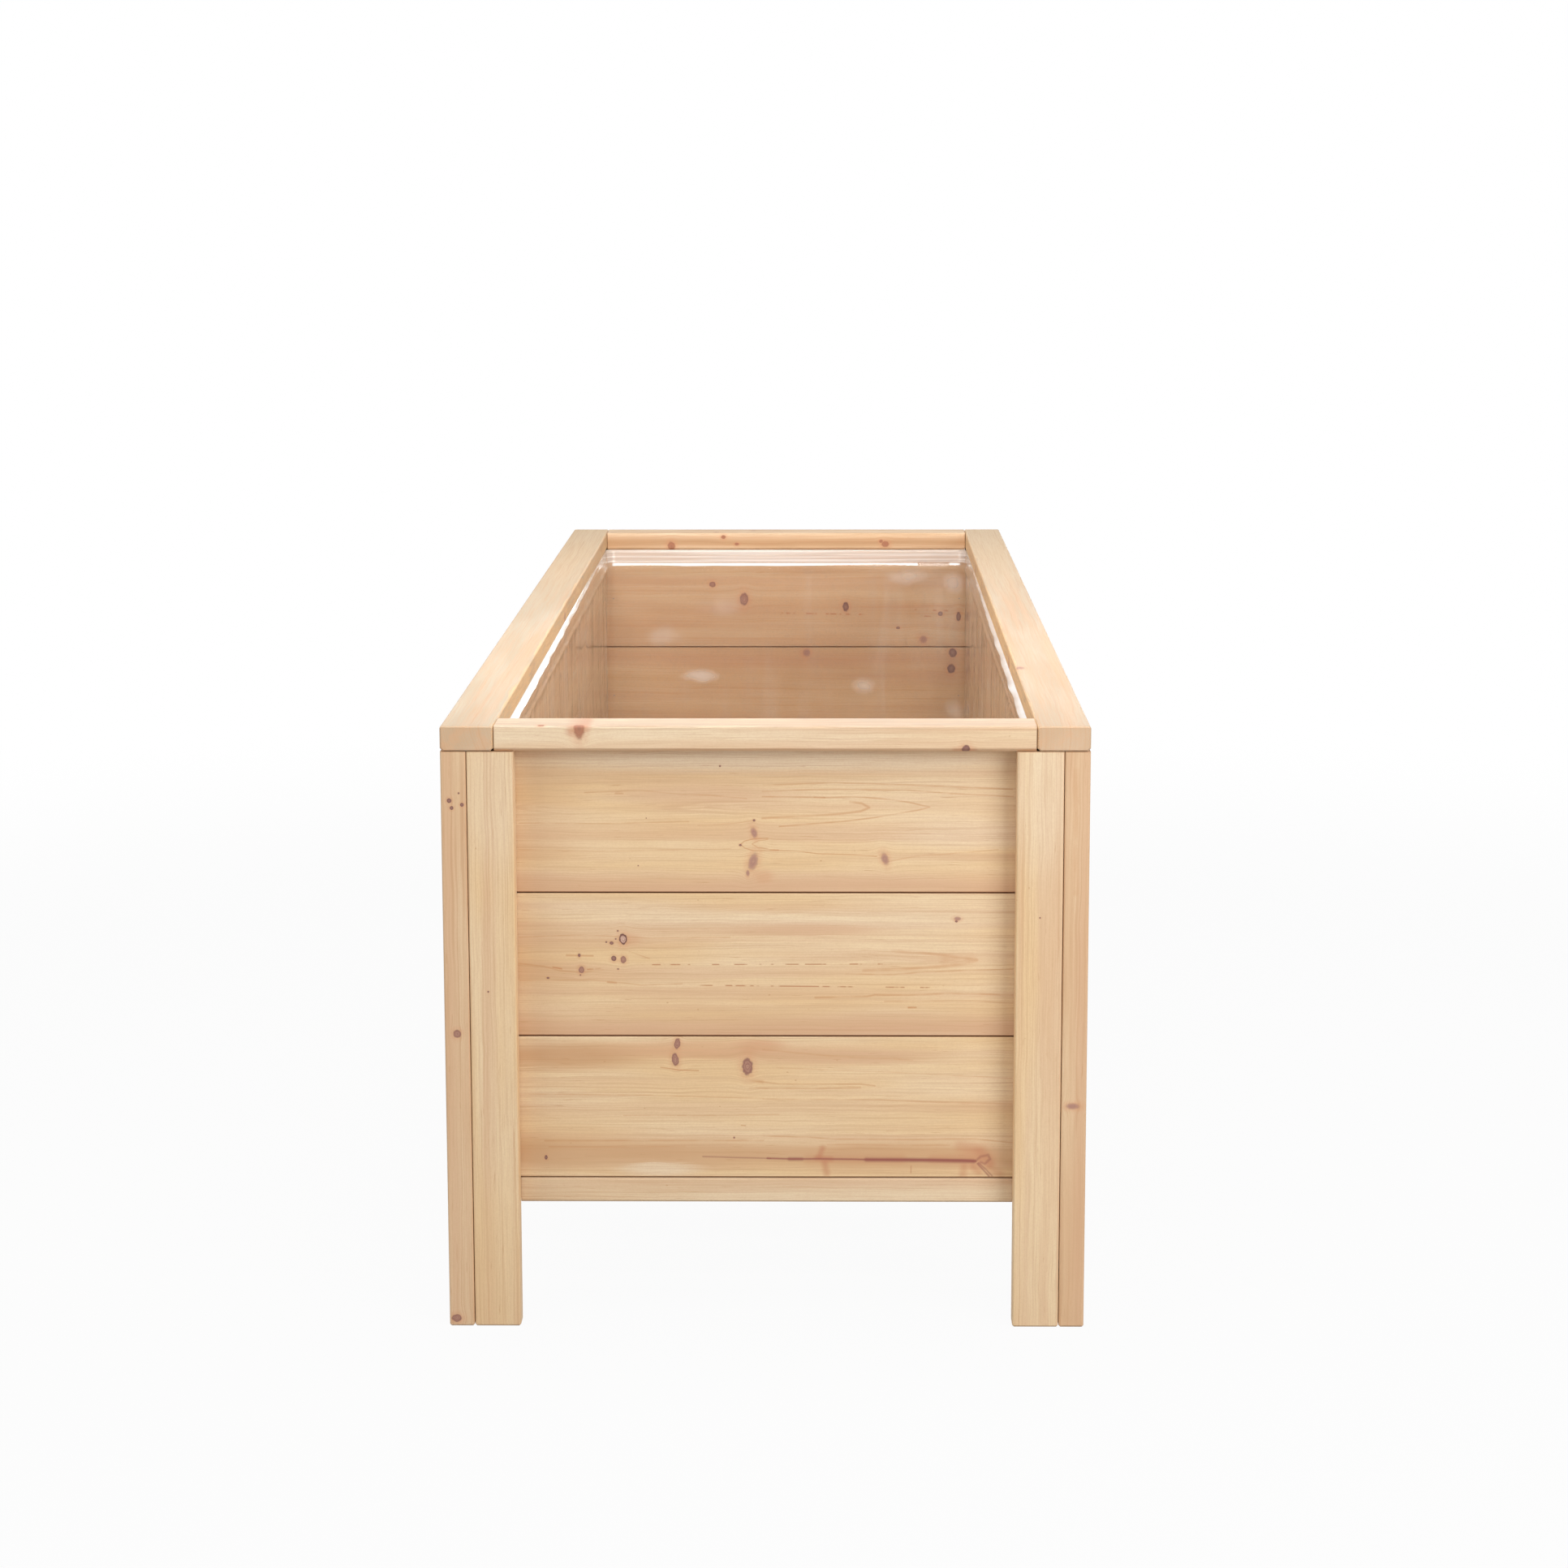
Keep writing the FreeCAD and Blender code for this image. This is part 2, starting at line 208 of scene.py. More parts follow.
def setCamera():
    turn, tip, roll = (math.radians(view[key]) for key in ("turn", "tip", "roll"))
    ahead = Vector((math.sin(turn) * math.cos(tip), math.cos(turn) * math.cos(tip), -math.sin(tip)))
    right = Vector((math.cos(turn), -math.sin(turn), 0))
    up = right.cross(ahead)
    across = right * math.cos(roll) - up * math.sin(roll)
    upward = right * math.sin(roll) + up * math.cos(roll)
    data = bpy.data.cameras.new("photoCamera")
    data.sensor_width = data.sensor_height = view["sensor"]
    data.lens = view["sensor"] * view["focus"] / view["pixels"]
    data.clip_start, data.clip_end = view["nearest"], view["farthest"]
    camera = addThing("photoCamera", data)
    turned = Matrix((across, upward, -ahead)).transposed().to_4x4()
    camera.matrix_world = Matrix.Translation(view["place"]) @ turned
    bpy.context.scene.camera = camera


lamps = {
    "left": {"place": (-2.4, -2.2, 1.2), "aim": (0, -0.8, 0.3), "size": (1.4, 1.2), "power": 16.5},
    "right": {"place": (1.6, -2.6, 1.2), "aim": (0, -0.8, 0.3), "size": (1.4, 1.2), "power": 32},
    "over": {"place": (0, -0.5, 1.75), "aim": (0, 0.7, 0.3), "size": (1.2, 0.8), "power": 20},
    "overFront": {"place": (0, -1.7, 1.9), "aim": (0, -0.6, 0.4), "size": (1.6, 0.8), "power": 9},
    "behind": {"place": (0.7, 3.2, 0.48), "aim": (0, 0.9, 0.35), "size": (1.6, 0.5), "power": 14},
}
skyLight = 0.4


def setLamps():
    for name, look in lamps.items():
        data = bpy.data.lights.new(name, "AREA")
        data.shape = "RECTANGLE"
        data.size, data.size_y = look["size"]
        data.energy = look["power"]
        start = Vector(look["place"])
        turn = (Vector(look["aim"]) - start).to_track_quat("-Z", "Y")
        addThing(name, data).matrix_world = Matrix.Translation(start) @ turn.to_matrix().to_4x4()
    world = bpy.data.worlds.new("studio")
    bpy.context.scene.world = world
    world.use_nodes = True
    tree = world.node_tree
    tree.nodes.clear()
    sockets = {"Color": (1, 1, 1, 1), "Strength": seenAsWhite(tree) * (1 - skyLight) + skyLight}
    sky = addNode(tree, "ShaderNodeBackground", sockets=sockets)
    output = tree.nodes.new("ShaderNodeOutputWorld")
    tree.links.new(sky.socket, output.inputs["Surface"])


paper = {
    "reach": 60,
    "grey": (0.42, 0.42, 0.42, 1),
    "nearWhite": 0.955,  # how white the camera sees the floor at the object, where it keeps a shadow
    "fade": (1.2, 3.0),  # metres over which it goes to full white
}


def setFloor():
    reach = paper["reach"]
    mesh = bpy.data.meshes.new("floor")
    corners = [(-reach, -reach, 0), (reach, -reach, 0), (reach, reach, 0), (-reach, reach, 0)]
    mesh.from_pydata(corners, [], [(0, 1, 2, 3)])
    floor = addThing("floor", mesh)
    material, tree = newMaterial("paperFloor")
    centre = addNode(tree, "ShaderNodeTexCoord", output="Object")
    apart = vectorNode(tree, "LENGTH", {0: centre}, "Value")
    matt = addNode(tree, "ShaderNodeBsdfDiffuse", sockets={"Color": paper["grey"]})
    glow = addNode(tree, "ShaderNodeEmission", sockets={"Color": (1, 1, 1, 1), "Strength": 1.0})
    share = seenAsWhite(tree) * apart.fade(*paper["fade"], paper["nearWhite"], 1.0)
    surface(tree, addNode(tree, "ShaderNodeMixShader", sockets={0: share, 1: matt, 2: glow}))
    mesh.materials.append(material)


bpy.context.scene.view_settings.view_transform = "Standard"
setCamera()
setLamps()
setFloor()
print("camera, lamps and floor")


# softwood, one material for each piece

softwood = {
    "cream": paint(242, 216, 177),
    "honey": paint(236, 203, 156),
    "rose": paint(217, 173, 137),
    "pale": paint(243, 223, 193),
    "tan": paint(206, 158, 114),
    "blush": paint(212, 148, 110),
    "lateWood": paint(194, 138, 94),
    "fibre": paint(210, 171, 130),
    "grainLine": paint(203, 143, 96),
    "dash": paint(186, 120, 78),
    "resin": paint(152, 86, 76),
    "stain": paint(196, 126, 92),
    # seam: painted shade for the joints between the wall boards
    "seam": paint(136, 74, 34),
    "endGrain": paint(206, 158, 114),
    "lineStrength": 0.4,
    # a paler copy of the wood for the side boards: painted light against the shade inside the bed
    "sideBoardsPaintedLight": {
        "cream": paint(250, 232, 203), "honey": paint(246, 220, 186), "rose": paint(234, 196, 162),
    },
}
knotKinds = {  # start and end of the edge, strength, and screen colours from the middle out
    "red": (0.6, 1.2, 0.9, [(0.0, 158, 104, 82), (0.5, 176, 116, 88), (0.8, 158, 100, 76),
    (1.0, 194, 136, 100)]),
    "soft": (0.5, 1.25, 0.85, [(0.0, 180, 136, 118), (0.35, 166, 122, 111), (0.6, 178, 132, 117),
                               (0.85, 166, 120, 107), (1.0, 186, 138, 114)]),
    "ringed": (0.8, 1.12, 0.9, [(0.0, 148, 102, 90), (0.22, 184, 140, 121), (0.35, 148, 100, 90),
                                (0.55, 174, 128, 111), (0.68, 142, 96, 87), (0.88, 150, 104, 91),
                                (1.0, 178, 128, 104)]),
    "dark": (0.8, 1.12, 0.92, [(0.0, 156, 114, 103), (0.45, 138, 96, 89), (0.8, 116, 76, 73),
                               (1.0, 158, 108, 92)]),
    "eye": (0.85, 1.1, 0.95, [(0.0, 172, 124, 110), (0.22, 224, 194, 175), (0.36, 166, 117, 104),
                              (0.54, 222, 190, 171), (0.7, 136, 90, 82), (0.86, 92, 56, 53),
                              (1.0, 152, 106, 90)]),
}


def readKnots(tree, look, along, across, depth):  # how near each kind is, and the grain pushed aside
    rough = cloud(tree, vector(tree, along * 0.3, across * 0.3, depth * 0.05 + look["seed"]), 3.0) - 0.5
    nearest, grain = {}, across
    for spot in look["knots"]:
        knotAlong, knotAcross, radiusAlong, radiusAcross, kind, *rest = spot
        lean = math.radians(rest[0]) if rest else 0.0
        stepAlong, stepAcross = along - knotAlong, across - knotAcross
        first, second = stepAlong / radiusAlong, stepAcross / radiusAcross
        if lean:
            cosine, sine = math.cos(lean), math.sin(lean)
            first = stepAlong * (cosine / radiusAlong) + stepAcross * (sine / radiusAlong)
            second = stepAcross * (cosine / radiusAcross) - stepAlong * (sine / radiusAcross)
        far = first * first + second * second
        if len(rest) > 1:  # a knot that doesn't reach through the wood
            inside = (depth - rest[1]) / rest[2]
            far = far + inside * inside
        apart = far.root() + rough * 0.6
        if radiusAcross > 2:
            grain = grain - stepAcross * (0.4 / (far * far * 0.06 + 1.0))
        nearest[kind] = nearest[kind].below(apart) if kind in nearest else apart
    return nearest, grain, rough


def showKnots(tree, nearest, rough, colour):
    for apart in nearest.values():
        halo = apart.fade(0.9, 2.4, 0.4, 0.0) * rough.fade(-0.2, 0.15, 0.35, 1.0)
        colour = blend(halo, colour, softwood["blush"])
    for kind, apart in nearest.items():
        start, end, strength, rings = knotKinds[kind]
        stops = [(place, paint(*screen)) for place, *screen in rings]
        inside = addNode(tree, "ShaderNodeValToRGB", {"stops": stops}, {0: apart})
        colour = blend(apart.fade(start, end, strength, 0.0), colour, inside)
    return colour


def showTints(tree, shades, along, across, colour):  # broad soft patches of another shade; some are painted light and some painted shade
    for middleAlong, middleAcross, reachAlong, reachAcross, shade, strength in shades.get("tints", ()):
        first, second = (along - middleAlong) / reachAlong, (across - middleAcross) / reachAcross
        apart = (first * first + second * second).root()
        colour = blend(apart.fade(0.3, 1.15, strength, 0.0), colour, shades[shade])
    return colour


def drawLines(tree, lines, spot, colour, shade):  # grain lines through the points that each one lists
    for halfWidth, strength, *places in lines:
        nearest = None
        for start, end in zip(places, places[1:]):
            step = (end[0] - start[0], end[1] - start[1], 0.0)
            square = step[0] ** 2 + step[1] ** 2
            scaled = (step[0] / square, step[1] / square, 0.0)
            apart = vectorNode(tree, "SUBTRACT", {0: spot, 1: (*start, 0.0)})
            share = vectorNode(tree, "DOT_PRODUCT", {0: apart, 1: scaled}, "Value")
            foot = vectorNode(tree, "SCALE", {0: step, "Scale": share.above(0.0).below(1.0)})
            away = vectorNode(tree, "SUBTRACT", {0: apart, 1: foot})
            gap = vectorNode(tree, "LENGTH", {0: away}, "Value")
            nearest = gap if nearest is None else nearest.below(gap)
        worn = 1.0
        if shade == "grainLine":
            patches = cloud(tree, vectorNode(tree, "SCALE", {0: spot, "Scale": 0.045}), 1.0)
            worn = patches.fade(0.3, 0.6, 0.35, 1.0)
        mark = (nearest / halfWidth).fade(0.0, 1.6, strength, 0.0) * worn
        colour = blend(mark, colour, softwood[shade])
    return colour


def drawDashes(tree, look, along, across, colour):  # rows of short dark dashes
    for fromAlong, fromAcross, toAlong, toAcross, halfWidth in look.get("dashes", ()):
        share = (along - fromAlong) / (toAlong - fromAlong)
        line = share.maths("MULTIPLY_ADD", share, toAcross - fromAcross, fromAcross)
        mark = ((across - line) / halfWidth).size().fade(0.3, 1.1, 0.75, 0.0)
        mark = mark * share.fade(-0.02, 0.04) * share.fade(0.96, 1.02, 1.0, 0.0)
        broken = cloud(tree, vector(tree, along * 0.12, look["seed"], fromAcross), 1.0)
        mark = mark * broken.fade(0.48, 0.6)
        colour = blend(mark, colour, softwood["dash"])
    return colour


grainMarks = {  # how often each noise comes per mm, along the grain and across, its detail and roughness
    "wave": (0.0045, 0.012, 2.0, 0.5),
    "ripple": (0.02, 0.05, 2.0, 0.5),
    "broad": (0.0035, 0.03, 2.0, 0.5),
    "bands": (0.0016, 0.07, 2.0, 0.5),
    "fine": (0.012, 0.9, 3.0, 0.7),
    "hair": (0.06, 3.2, 2.0, 0.6),
    "dash": (0.04, 0.8, 2.0, 0.5),
    "mottle": (0.5, 0.8, 2.0, 0.6),
}


def marks(tree, kind, spot, offsets):  # one of the noises, stretched along the grain
    lengthwise, crosswise, detail, roughness = grainMarks[kind]
    scaled = [axis * scale for axis, scale in zip(spot, (lengthwise, crosswise, crosswise))]
    scaled = [axis + offset if offset else axis for axis, offset in zip(scaled, offsets)]
    return cloud(tree, vector(tree, *scaled), detail, roughness)


def makeWood(name, look):
    # look: axes are the letters along the grain, across it and through it; lengths are in mm
    material, tree = newMaterial(name)
    axes = dict(zip("xyz", millimetres(tree)))
    along, across, depth = (axes[letter] for letter in look["axes"])
    seed, shades = look["seed"], {**softwood, **look}
    wave = marks(tree, "wave", (along, across, depth), (seed, 0, 0))
    ripple = marks(tree, "ripple", (along, across, depth), (0, seed, 0)) - 0.5
    bent = across + (wave - 0.5) * look["wave"] + ripple * 2.0
    nearest, grain, rough = readKnots(tree, look, along, across + ripple * 1.2, depth)
    grain = grain + (bent - across)
    off = (grain - look["pith"][0]) * look["squash"]
    height = depth - look["pith"][1] + (along - look["pith"][2]) * look["slope"]
    ring = (off * off + height * height).root()
    uneven = cloud(tree, vector(tree, along * 0.0012 + seed, ring * 0.13, 0.0), 3.0, 0.7)
    phase = (ring / look["ringWidth"] + uneven * 4.0).part()
    late = phase.fade(0.45, 0.86) * phase.fade(0.93, 1.0, 1.0, 0.0)
    force = cloud(tree, vector(tree, along * 0.0035, ring * 0.16 + seed, 3.0), 2.0)
    force = force.fade(0.38, 0.66, 0.06, 1.0)
    broad = marks(tree, "broad", (along, across, depth), (0, 0, seed))
    bands = marks(tree, "bands", (along, grain, depth), (seed, 0, 0))
    fine = marks(tree, "fine", (along, grain, depth), (0, seed, 0))
    hair = marks(tree, "hair", (along, grain, depth), (seed, 0, 0))
    dash = marks(tree, "dash", (along, grain, depth), (seed, 0, 0))
    mottle = marks(tree, "mottle", (along, across, depth), (0, seed, 0))
    cells = vector(tree, along * 0.045 + seed, across * 0.07, depth * 0.07)
    sockets = {"Vector": cells, "Scale": 1.0}
    spots = addNode(tree, "ShaderNodeTexVoronoi", sockets=sockets, output="Distance")
    rosy = bands.fade(0.42, 0.68, 0.0, 0.5)
    for middle, halfWidth, strength in look.get("bands", ()):
        edge = (bent - middle + (broad - 0.5) * halfWidth) / halfWidth
        rosy = rosy.above(edge.size().fade(0.0, 1.0, strength, 0.0))
    colour = blend(broad.fade(0.35, 0.65), shades["cream"], shades["honey"])
    colour = blend(rosy, colour, shades["rose"])
    colour = showTints(tree, shades, along, bent + (fine - 0.5) * 12, colour)
    colour = blend(late * force * look["lineStrength"], colour, softwood["lateWood"])
    colour = blend(fine.fade(0.42, 0.7, 0.0, 0.42), colour, softwood["fibre"])
    colour = blend(hair.fade(0.45, 0.75, 0.0, 0.24), colour, softwood["rose"])
    colour = blend(mottle.fade(0.35, 0.7, 0.0, 0.16), colour, softwood["fibre"])
    colour = blend(dash.fade(0.66, 0.78, 0.0, 0.45), colour, softwood["lateWood"])
    colour = blend(spots.fade(0.03, 0.06, 0.5, 0.0) * broad.fade(0.5, 0.54), colour, softwood["lateWood"])
    spot = vector(tree, along, across + ripple * 1.2, 0.0)
    colour = drawLines(tree, look.get("lines", ()), spot, colour, "grainLine")
    colour = drawLines(tree, look.get("stains", ()), spot, colour, "stain")
    colour = drawDashes(tree, look, along, across, colour)
    colour = showKnots(tree, nearest, rough, colour)
    colour = drawLines(tree, look.get("resin", ()), spot, colour, "resin")
    for start, end in look["ends"]:  # end grain is darker
        colour = blend(along.fade(start, end, 0.0, 0.36), colour, shades["endGrain"])
    for start, end in look.get("seams", ()):  # painted shade darkens the eased edges and the tongue where the boards meet
        colour = blend(across.fade(start, end, 0.0, 0.85), colour, softwood["seam"])
    relief = late * force * 0.5 + fine * 0.5 + hair * 0.3
    sockets = {"Strength": 0.12, "Distance": 0.0004, "Height": relief}
    bump = addNode(tree, "ShaderNodeBump", sockets=sockets)
    dull = fine.fade(0.3, 0.8, 0.5, 0.66)
    sockets = {"Base Color": colour, "Roughness": dull, "IOR": 1.42, "Normal": bump}
    surface(tree, addNode(tree, "ShaderNodeBsdfPrincipled", sockets=sockets))
    return material


# what each front piece shows, in mm
# knots are (along, across, radius along, radius across, kind, lean, depth, reach in depth)
# lines, resin and stains are (half width, strength, points)
# tints are (along, across, reach along, reach across, shade, strength)
# bands are (across, half width, strength), dashes (along and across of both ends, half width)
placedLooks = {
    "end_board_front_3": {
        "pith": (503, -935, 155), "height": 19, "slope": 0.0714, "squash": 1.8, "ringWidth": 4.6,
        "wave": 3.0, "lineStrength": 0.28,
        "knots": [(-11, 479, 3.0, 5.8, "soft", 14), (-12, 451, 4.6, 9.0, "soft", -16),
                  (-17, 440, 1.8, 3.4, "soft"),
                  (-11, 491, 1.2, 1.2, "dark"), (-24, 467, 1.4, 1.1, "dark"),
                  (113, 454, 3.6, 6.2, "soft", 18),
                  (-43, 543, 0.9, 0.9, "dark"), (-121, 447, 0.6, 0.6, "dark"),
                  (-113, 493, 0.5, 0.5, "dark")],
        "lines": [
            (0.8, 0.6, (-3, 514), (53, 513), (83, 513.6), (113, 511.5), (136, 508.4), (155, 503.8),
             (145, 501),
             (128, 498), (105, 494), (74, 490), (13, 485)),
            (1.2, 0.55, (80, 508.8), (91, 507.2), (98, 503.3), (90, 499.8), (71, 497.5), (44, 495.5),
            (-3, 493)),
            (0.5, 0.75, (2, 473.6), (-12, 472.8), (-20, 470.9), (-24, 467.6), (-20, 464.2),
             (-12, 461.6), (13, 462),
             (28, 461.6), (50, 458.8), (85, 458), (105, 456.5)),
            (0.45, 0.6, (2, 472.4), (-7, 471.3), (-13, 468.1), (-7, 464.2), (2, 463.9)),
            (0.6, 0.9, (4, 462.4), (12, 462.3)), (0.8, 0.75, (46, 513.2), (56, 513)),
            (0.7, 0.4, (-233, 488), (-159, 487.7), (-73, 489.7)), (0.9, 0.6, (-142, 516.8),
            (-135, 516.8)),
            (0.7, 0.45, (-171, 517.7), (-119, 520), (-79, 515.7), (-52, 515), (-18, 512)),
            (0.8, 0.5, (-2, 525), (66, 527), (105, 526), (151, 524.4), (189, 523), (233, 521)),
            (0.8, 0.5, (-3, 519), (68, 521), (135, 519.7), (181, 516.6), (234, 514)),
            (0.7, 0.35, (-234, 462.5), (-157, 461), (-33, 463.4)), (0.6, 0.35, (-64, 486), (-29, 488),
            (-10, 491)),
            (0.7, 0.35, (113, 451), (143, 456.5), (182, 459.7), (220, 463)),
        ],
        # the pale tint along the top, just under the cap, is painted light against the cap's shade
        "tints": [(-60, 515, 120, 14, "rose", 0.55), (10, 549, 340, 14, "pale", 0.9),
                  (190, 505, 90, 40, "pale", 0.3),
                  # the weak tan tint at the left end is painted shade, with painted warm light thrown off the
                  # left leg
                  (190, 475, 80, 16, "pale", 0.4), (-220, 500, 60, 70, "tan", 0.25),
                  (-2, 437, 12, 9, "blush", 0.4)],
        "bands": [(424, 26, 0.85)],
    },
    "end_board_front_2": {
        "pith": (356, -935, 200), "height": 22, "slope": 0.06, "squash": 1.7, "ringWidth": 4.8,
        "wave": 3.0, "lineStrength": 0.3,
        "knots": [(-136, 376, 3.9, 5.4, "eye"), (-147, 372, 1.9, 1.6, "dark"),
                  (-152, 373, 0.9, 0.9, "dark"),
                  (-143, 376, 0.8, 0.8, "dark"), (-141, 384, 0.9, 0.9, "dark"),
                  (-145, 357, 2.6, 2.8, "dark"),
                  (-136, 356, 3.0, 3.6, "ringed"), (-141, 347, 1.0, 0.7, "dark"),
                  (-178, 360, 1.4, 1.9, "dark"),
                  (-176, 346, 2.8, 3.4, "ringed"), (-177, 341, 0.8, 0.7, "dark"),
                  (-208, 338, 1.4, 0.9, "dark"),
                  (182, 396, 3.4, 2.0, "soft"), (181, 393.5, 1.3, 1.1, "dark")],
        "lines": [
            (1.6, 0.42, (121, 364.5), (142, 363.7), (171, 360.6), (201, 356), (189, 352), (159, 349.5),
             (129, 347),
             (93, 345.5)),
            (5.5, 0.32, (171, 356), (195, 356)), (0.8, 0.5, (76, 342), (121, 341.5), (152, 344.7),
            (198, 346), (235, 347)),
            (1.0, 0.55, (47, 319), (96, 320), (104, 321.7), (136, 321.4), (175, 323.4), (235, 322)),
            (0.8, 0.4, (113, 315.4), (198, 316.3), (235, 314)), (1.0, 1.0, (136, 309.4), (143, 309.6)),
            (0.7, 0.5, (-235, 352), (-212, 349.5), (-196, 345), (-176, 343.6), (-155, 346)),
            (0.8, 0.95, (-203, 348.6), (-195, 347)), (0.8, 0.95, (-170, 346.4), (-165, 346.7)),
            (0.8, 0.9, (-162, 347), (-158, 347.5)), (1.0, 0.6, (-190, 360.2), (-165, 359.7)),
            (0.6, 0.45, (-235, 335.6), (-169, 336.4), (-142, 334), (-119, 331), (-80, 332.6)),
            (0.7, 0.4, (-235, 377.5), (-173, 380), (-111, 377), (-34, 377.7)),
            (0.6, 0.5, (-130, 364), (-119, 360), (-111, 357)), (1.0, 0.7, (-151, 334), (-143, 333.4)),
        ],
        "dashes": [(-118, 351, 118, 352, 0.8), (-64, 331, 160, 329, 0.8)],
        "tints": [(-150, 400, 120, 20, "pale", 0.35), (90, 395, 260, 12, "pale", 0.45),
                  (40, 384, 90, 8, "rose", 0.6),
                  # the weak tan tint at the left end is painted shade, with painted warm light thrown off the
                  # left leg
                  (-130, 376, 14, 8, "blush", 0.35), (-220, 345, 50, 75, "tan", 0.25),
                  (60, 300, 240, 12, "tan", 0.25)],
        "bands": [(286, 24, 0.9)],
    },
    "end_board_front_1": {
        "pith": (158, -890, 0), "height": 4, "slope": 0.0, "squash": 1.0, "ringWidth": 4.6, "wave": 3.0,
        "lineStrength": 0.28,
        "knots": [(-85, 274, 3.0, 5.6, "ringed", -8), (-87, 258, 3.5, 6.6, "ringed", 6),
                  (-18, 251, 5.2, 8.8, "ringed"),
                  (-212, 161, 1.5, 2.3, "dark"), (-31, 181, 0.8, 1.0, "dark")],
        "lines": [
            (0.9, 0.5, (-13, 237), (12, 234.2), (90, 234.3), (104, 232.4)), (2.2, 0.35, (-14, 237),
            (-4, 236)),
            (1.1, 0.45, (-16, 230), (12, 230), (51, 230), (90, 231)),
            (0.8, 0.4, (-3, 219.4), (109, 218.8), (160, 216.5), (235, 215)),
            (0.8, 0.5, (-3, 182.5), (40, 181.7), (67, 179.7), (153, 179.5), (199, 180.4), (237, 176.5)),
            (0.8, 0.4, (59, 174.5), (121, 173.8), (176, 173.9)), (0.9, 0.5, (-213, 177.6),
            (-113, 178.3), (-3, 178)),
            (0.8, 0.45, (-209, 171.6), (-78, 172)), (0.8, 0.4, (-237, 224), (-112, 223), (-3, 220)),
            (0.6, 0.85, (-101, 250.5), (-84, 247.8), (-65, 247.4)), (0.6, 0.9, (-85, 203), (-77, 203)),
            (0.6, 0.8, (-24, 193.2), (-20, 192.9)), (0.7, 0.35, (-137, 203), (-66, 203), (12, 204)),
            (0.9, 0.35, (-3, 268), (60, 262), (140, 258)), (0.7, 0.3, (10, 250), (120, 246), (235, 240)),
        ],
        "resin": [
            (0.8, 0.5, (-61, 162.2), (-19, 161.2), (4, 160.5)),
            (1.1, 0.8, (1, 160.7), (25, 160), (51, 160.3), (121, 159.3), (189, 158.7), (201, 158)),
            (2.2, 0.85, (96, 159.5), (150, 159), (199, 158)), (1.9, 0.7, (22, 160), (34, 160)),
            (1.4, 0.45, (201, 158), (206, 162.7), (213, 164.3), (215, 160.3), (210, 155.5), (206, 157)),
            (1.0, 0.65, (203, 155.5), (209, 149), (214, 143.4)), (0.9, 0.55, (204, 156.3), (212, 149),
            (217, 143.4)),
        ],
        "stains": [
            (3.2, 0.5, (54, 171), (51, 163)), (3.6, 0.5, (56, 156), (58, 146)), (0.6, 0.6, (139, 153),
            (139, 146.5)),
            (4.2, 0.4, (190, 152), (189, 145)), (6.0, 0.35, (186, 173), (199, 170)),
            (6.0, 0.45, (206, 168), (214, 158)),
            (4.0, 0.45, (199, 152), (204, 148)), (3.0, 0.5, (62, 160), (48, 161)),
            (5.0, 0.4, (215, 152), (224, 146)),
            (5.0, 0.3, (40, 160), (130, 160)), (5.0, 0.35, (160, 160), (204, 160)),
        ],
        "tints": [(-190, 262, 90, 17, "tan", 0.85), (-60, 268, 110, 12, "blush", 0.42),
                  (-5, 272, 30, 8, "blush", 0.5),
                  (60, 262, 120, 12, "rose", 0.6), (-205, 164, 150, 20, "tan", 0.75),
                  (-60, 163, 110, 18, "tan", 0.7),
                  (120, 163, 170, 18, "tan", 0.75), (-103, 149, 48, 8, "pale", 0.75),
                  (-60, 205, 300, 20, "cream", 0.4),
                  (205, 163, 26, 16, "blush", 0.35)],
    },
    "rim_cap_front": {
        "axes": "xzy", "cream": paint(243, 221, 188), "honey": paint(238, 211, 174), "lineStrength": 0.3,
        "knots": [(-174, 584, 5.6, 12.0, "red", 0, -914, 7), (188, 562.5, 4.2, 4.6, "dark", 0, -914, 7),
                  (-210, 585, 3.6, 1.2, "red", 0, -911, 4)],
        "stains": [(5.0, 0.5, (-182, 580), (-168, 584)), (3.0, 0.4, (178, 562), (196, 562))],
        "bands": [(561, 7, 0.75)],
        # the grey pale tint over the top face is painted shade: the top, which catches the most light, gets a
        # darker copy of the wood
        "pale": paint(197, 179, 160), "tints": [(0, 587.5, 3000, 5, "pale", 0.95)],
    },
    "rim_cap_rear": {
        "axes": "xzy",
        # rose is a darker orange copy of the wood, painted shade on the cap's face; the top keeps the pale
        # cream
        "cream": paint(249, 223, 190), "honey": paint(242, 210, 172), "rose": paint(186, 141, 98),
        "knots": [(-163, 566, 5.8, 7.0, "red", 0, 864, 7), (-89, 579, 3.5, 2.9, "red", 0, 864, 7),
                  (-70, 569, 3.5, 2.3, "red", 0, 864, 7), (141, 569, 5.8, 4.6, "red", 0, 864, 7),
                  (135, 573, 3.0, 2.6, "red", 0, 864, 7),
                  (-99, 585, 4.0, 5.0, "soft", 0, 872, 3), (-47, 585, 4.0, 5.0, "soft", 0, 894, 3)],
        "bands": [(571, 14, 0.85)],
    },
    "rim_cap_left": {
        # cream and honey are a greyed copy of the wood, painted shade for the top that catches the most
        # light; inner lightens the inner face and far lightens the far half, both painted light
        "cream": paint(199, 186, 164), "honey": paint(191, 174, 149), "lineStrength": 0.34,
        "endGrain": paint(232, 184, 138),
        "knots": [(29, -255, 7.0, 5.0, "soft", 0, 568, 7)],
        "inner": paint(244, 207, 156), "far": paint(231, 203, 164),
        "tints": [(950, -280, 950, 60, "far", 0.9), (0, -254, 5000, 2.6, "inner", 0.95)],
    },
    "rim_cap_right": {
        # cream and honey are a greyed copy of the wood, painted shade for the top that catches the most
        # light; inner lightens the inner face and far lightens the far half, both painted light
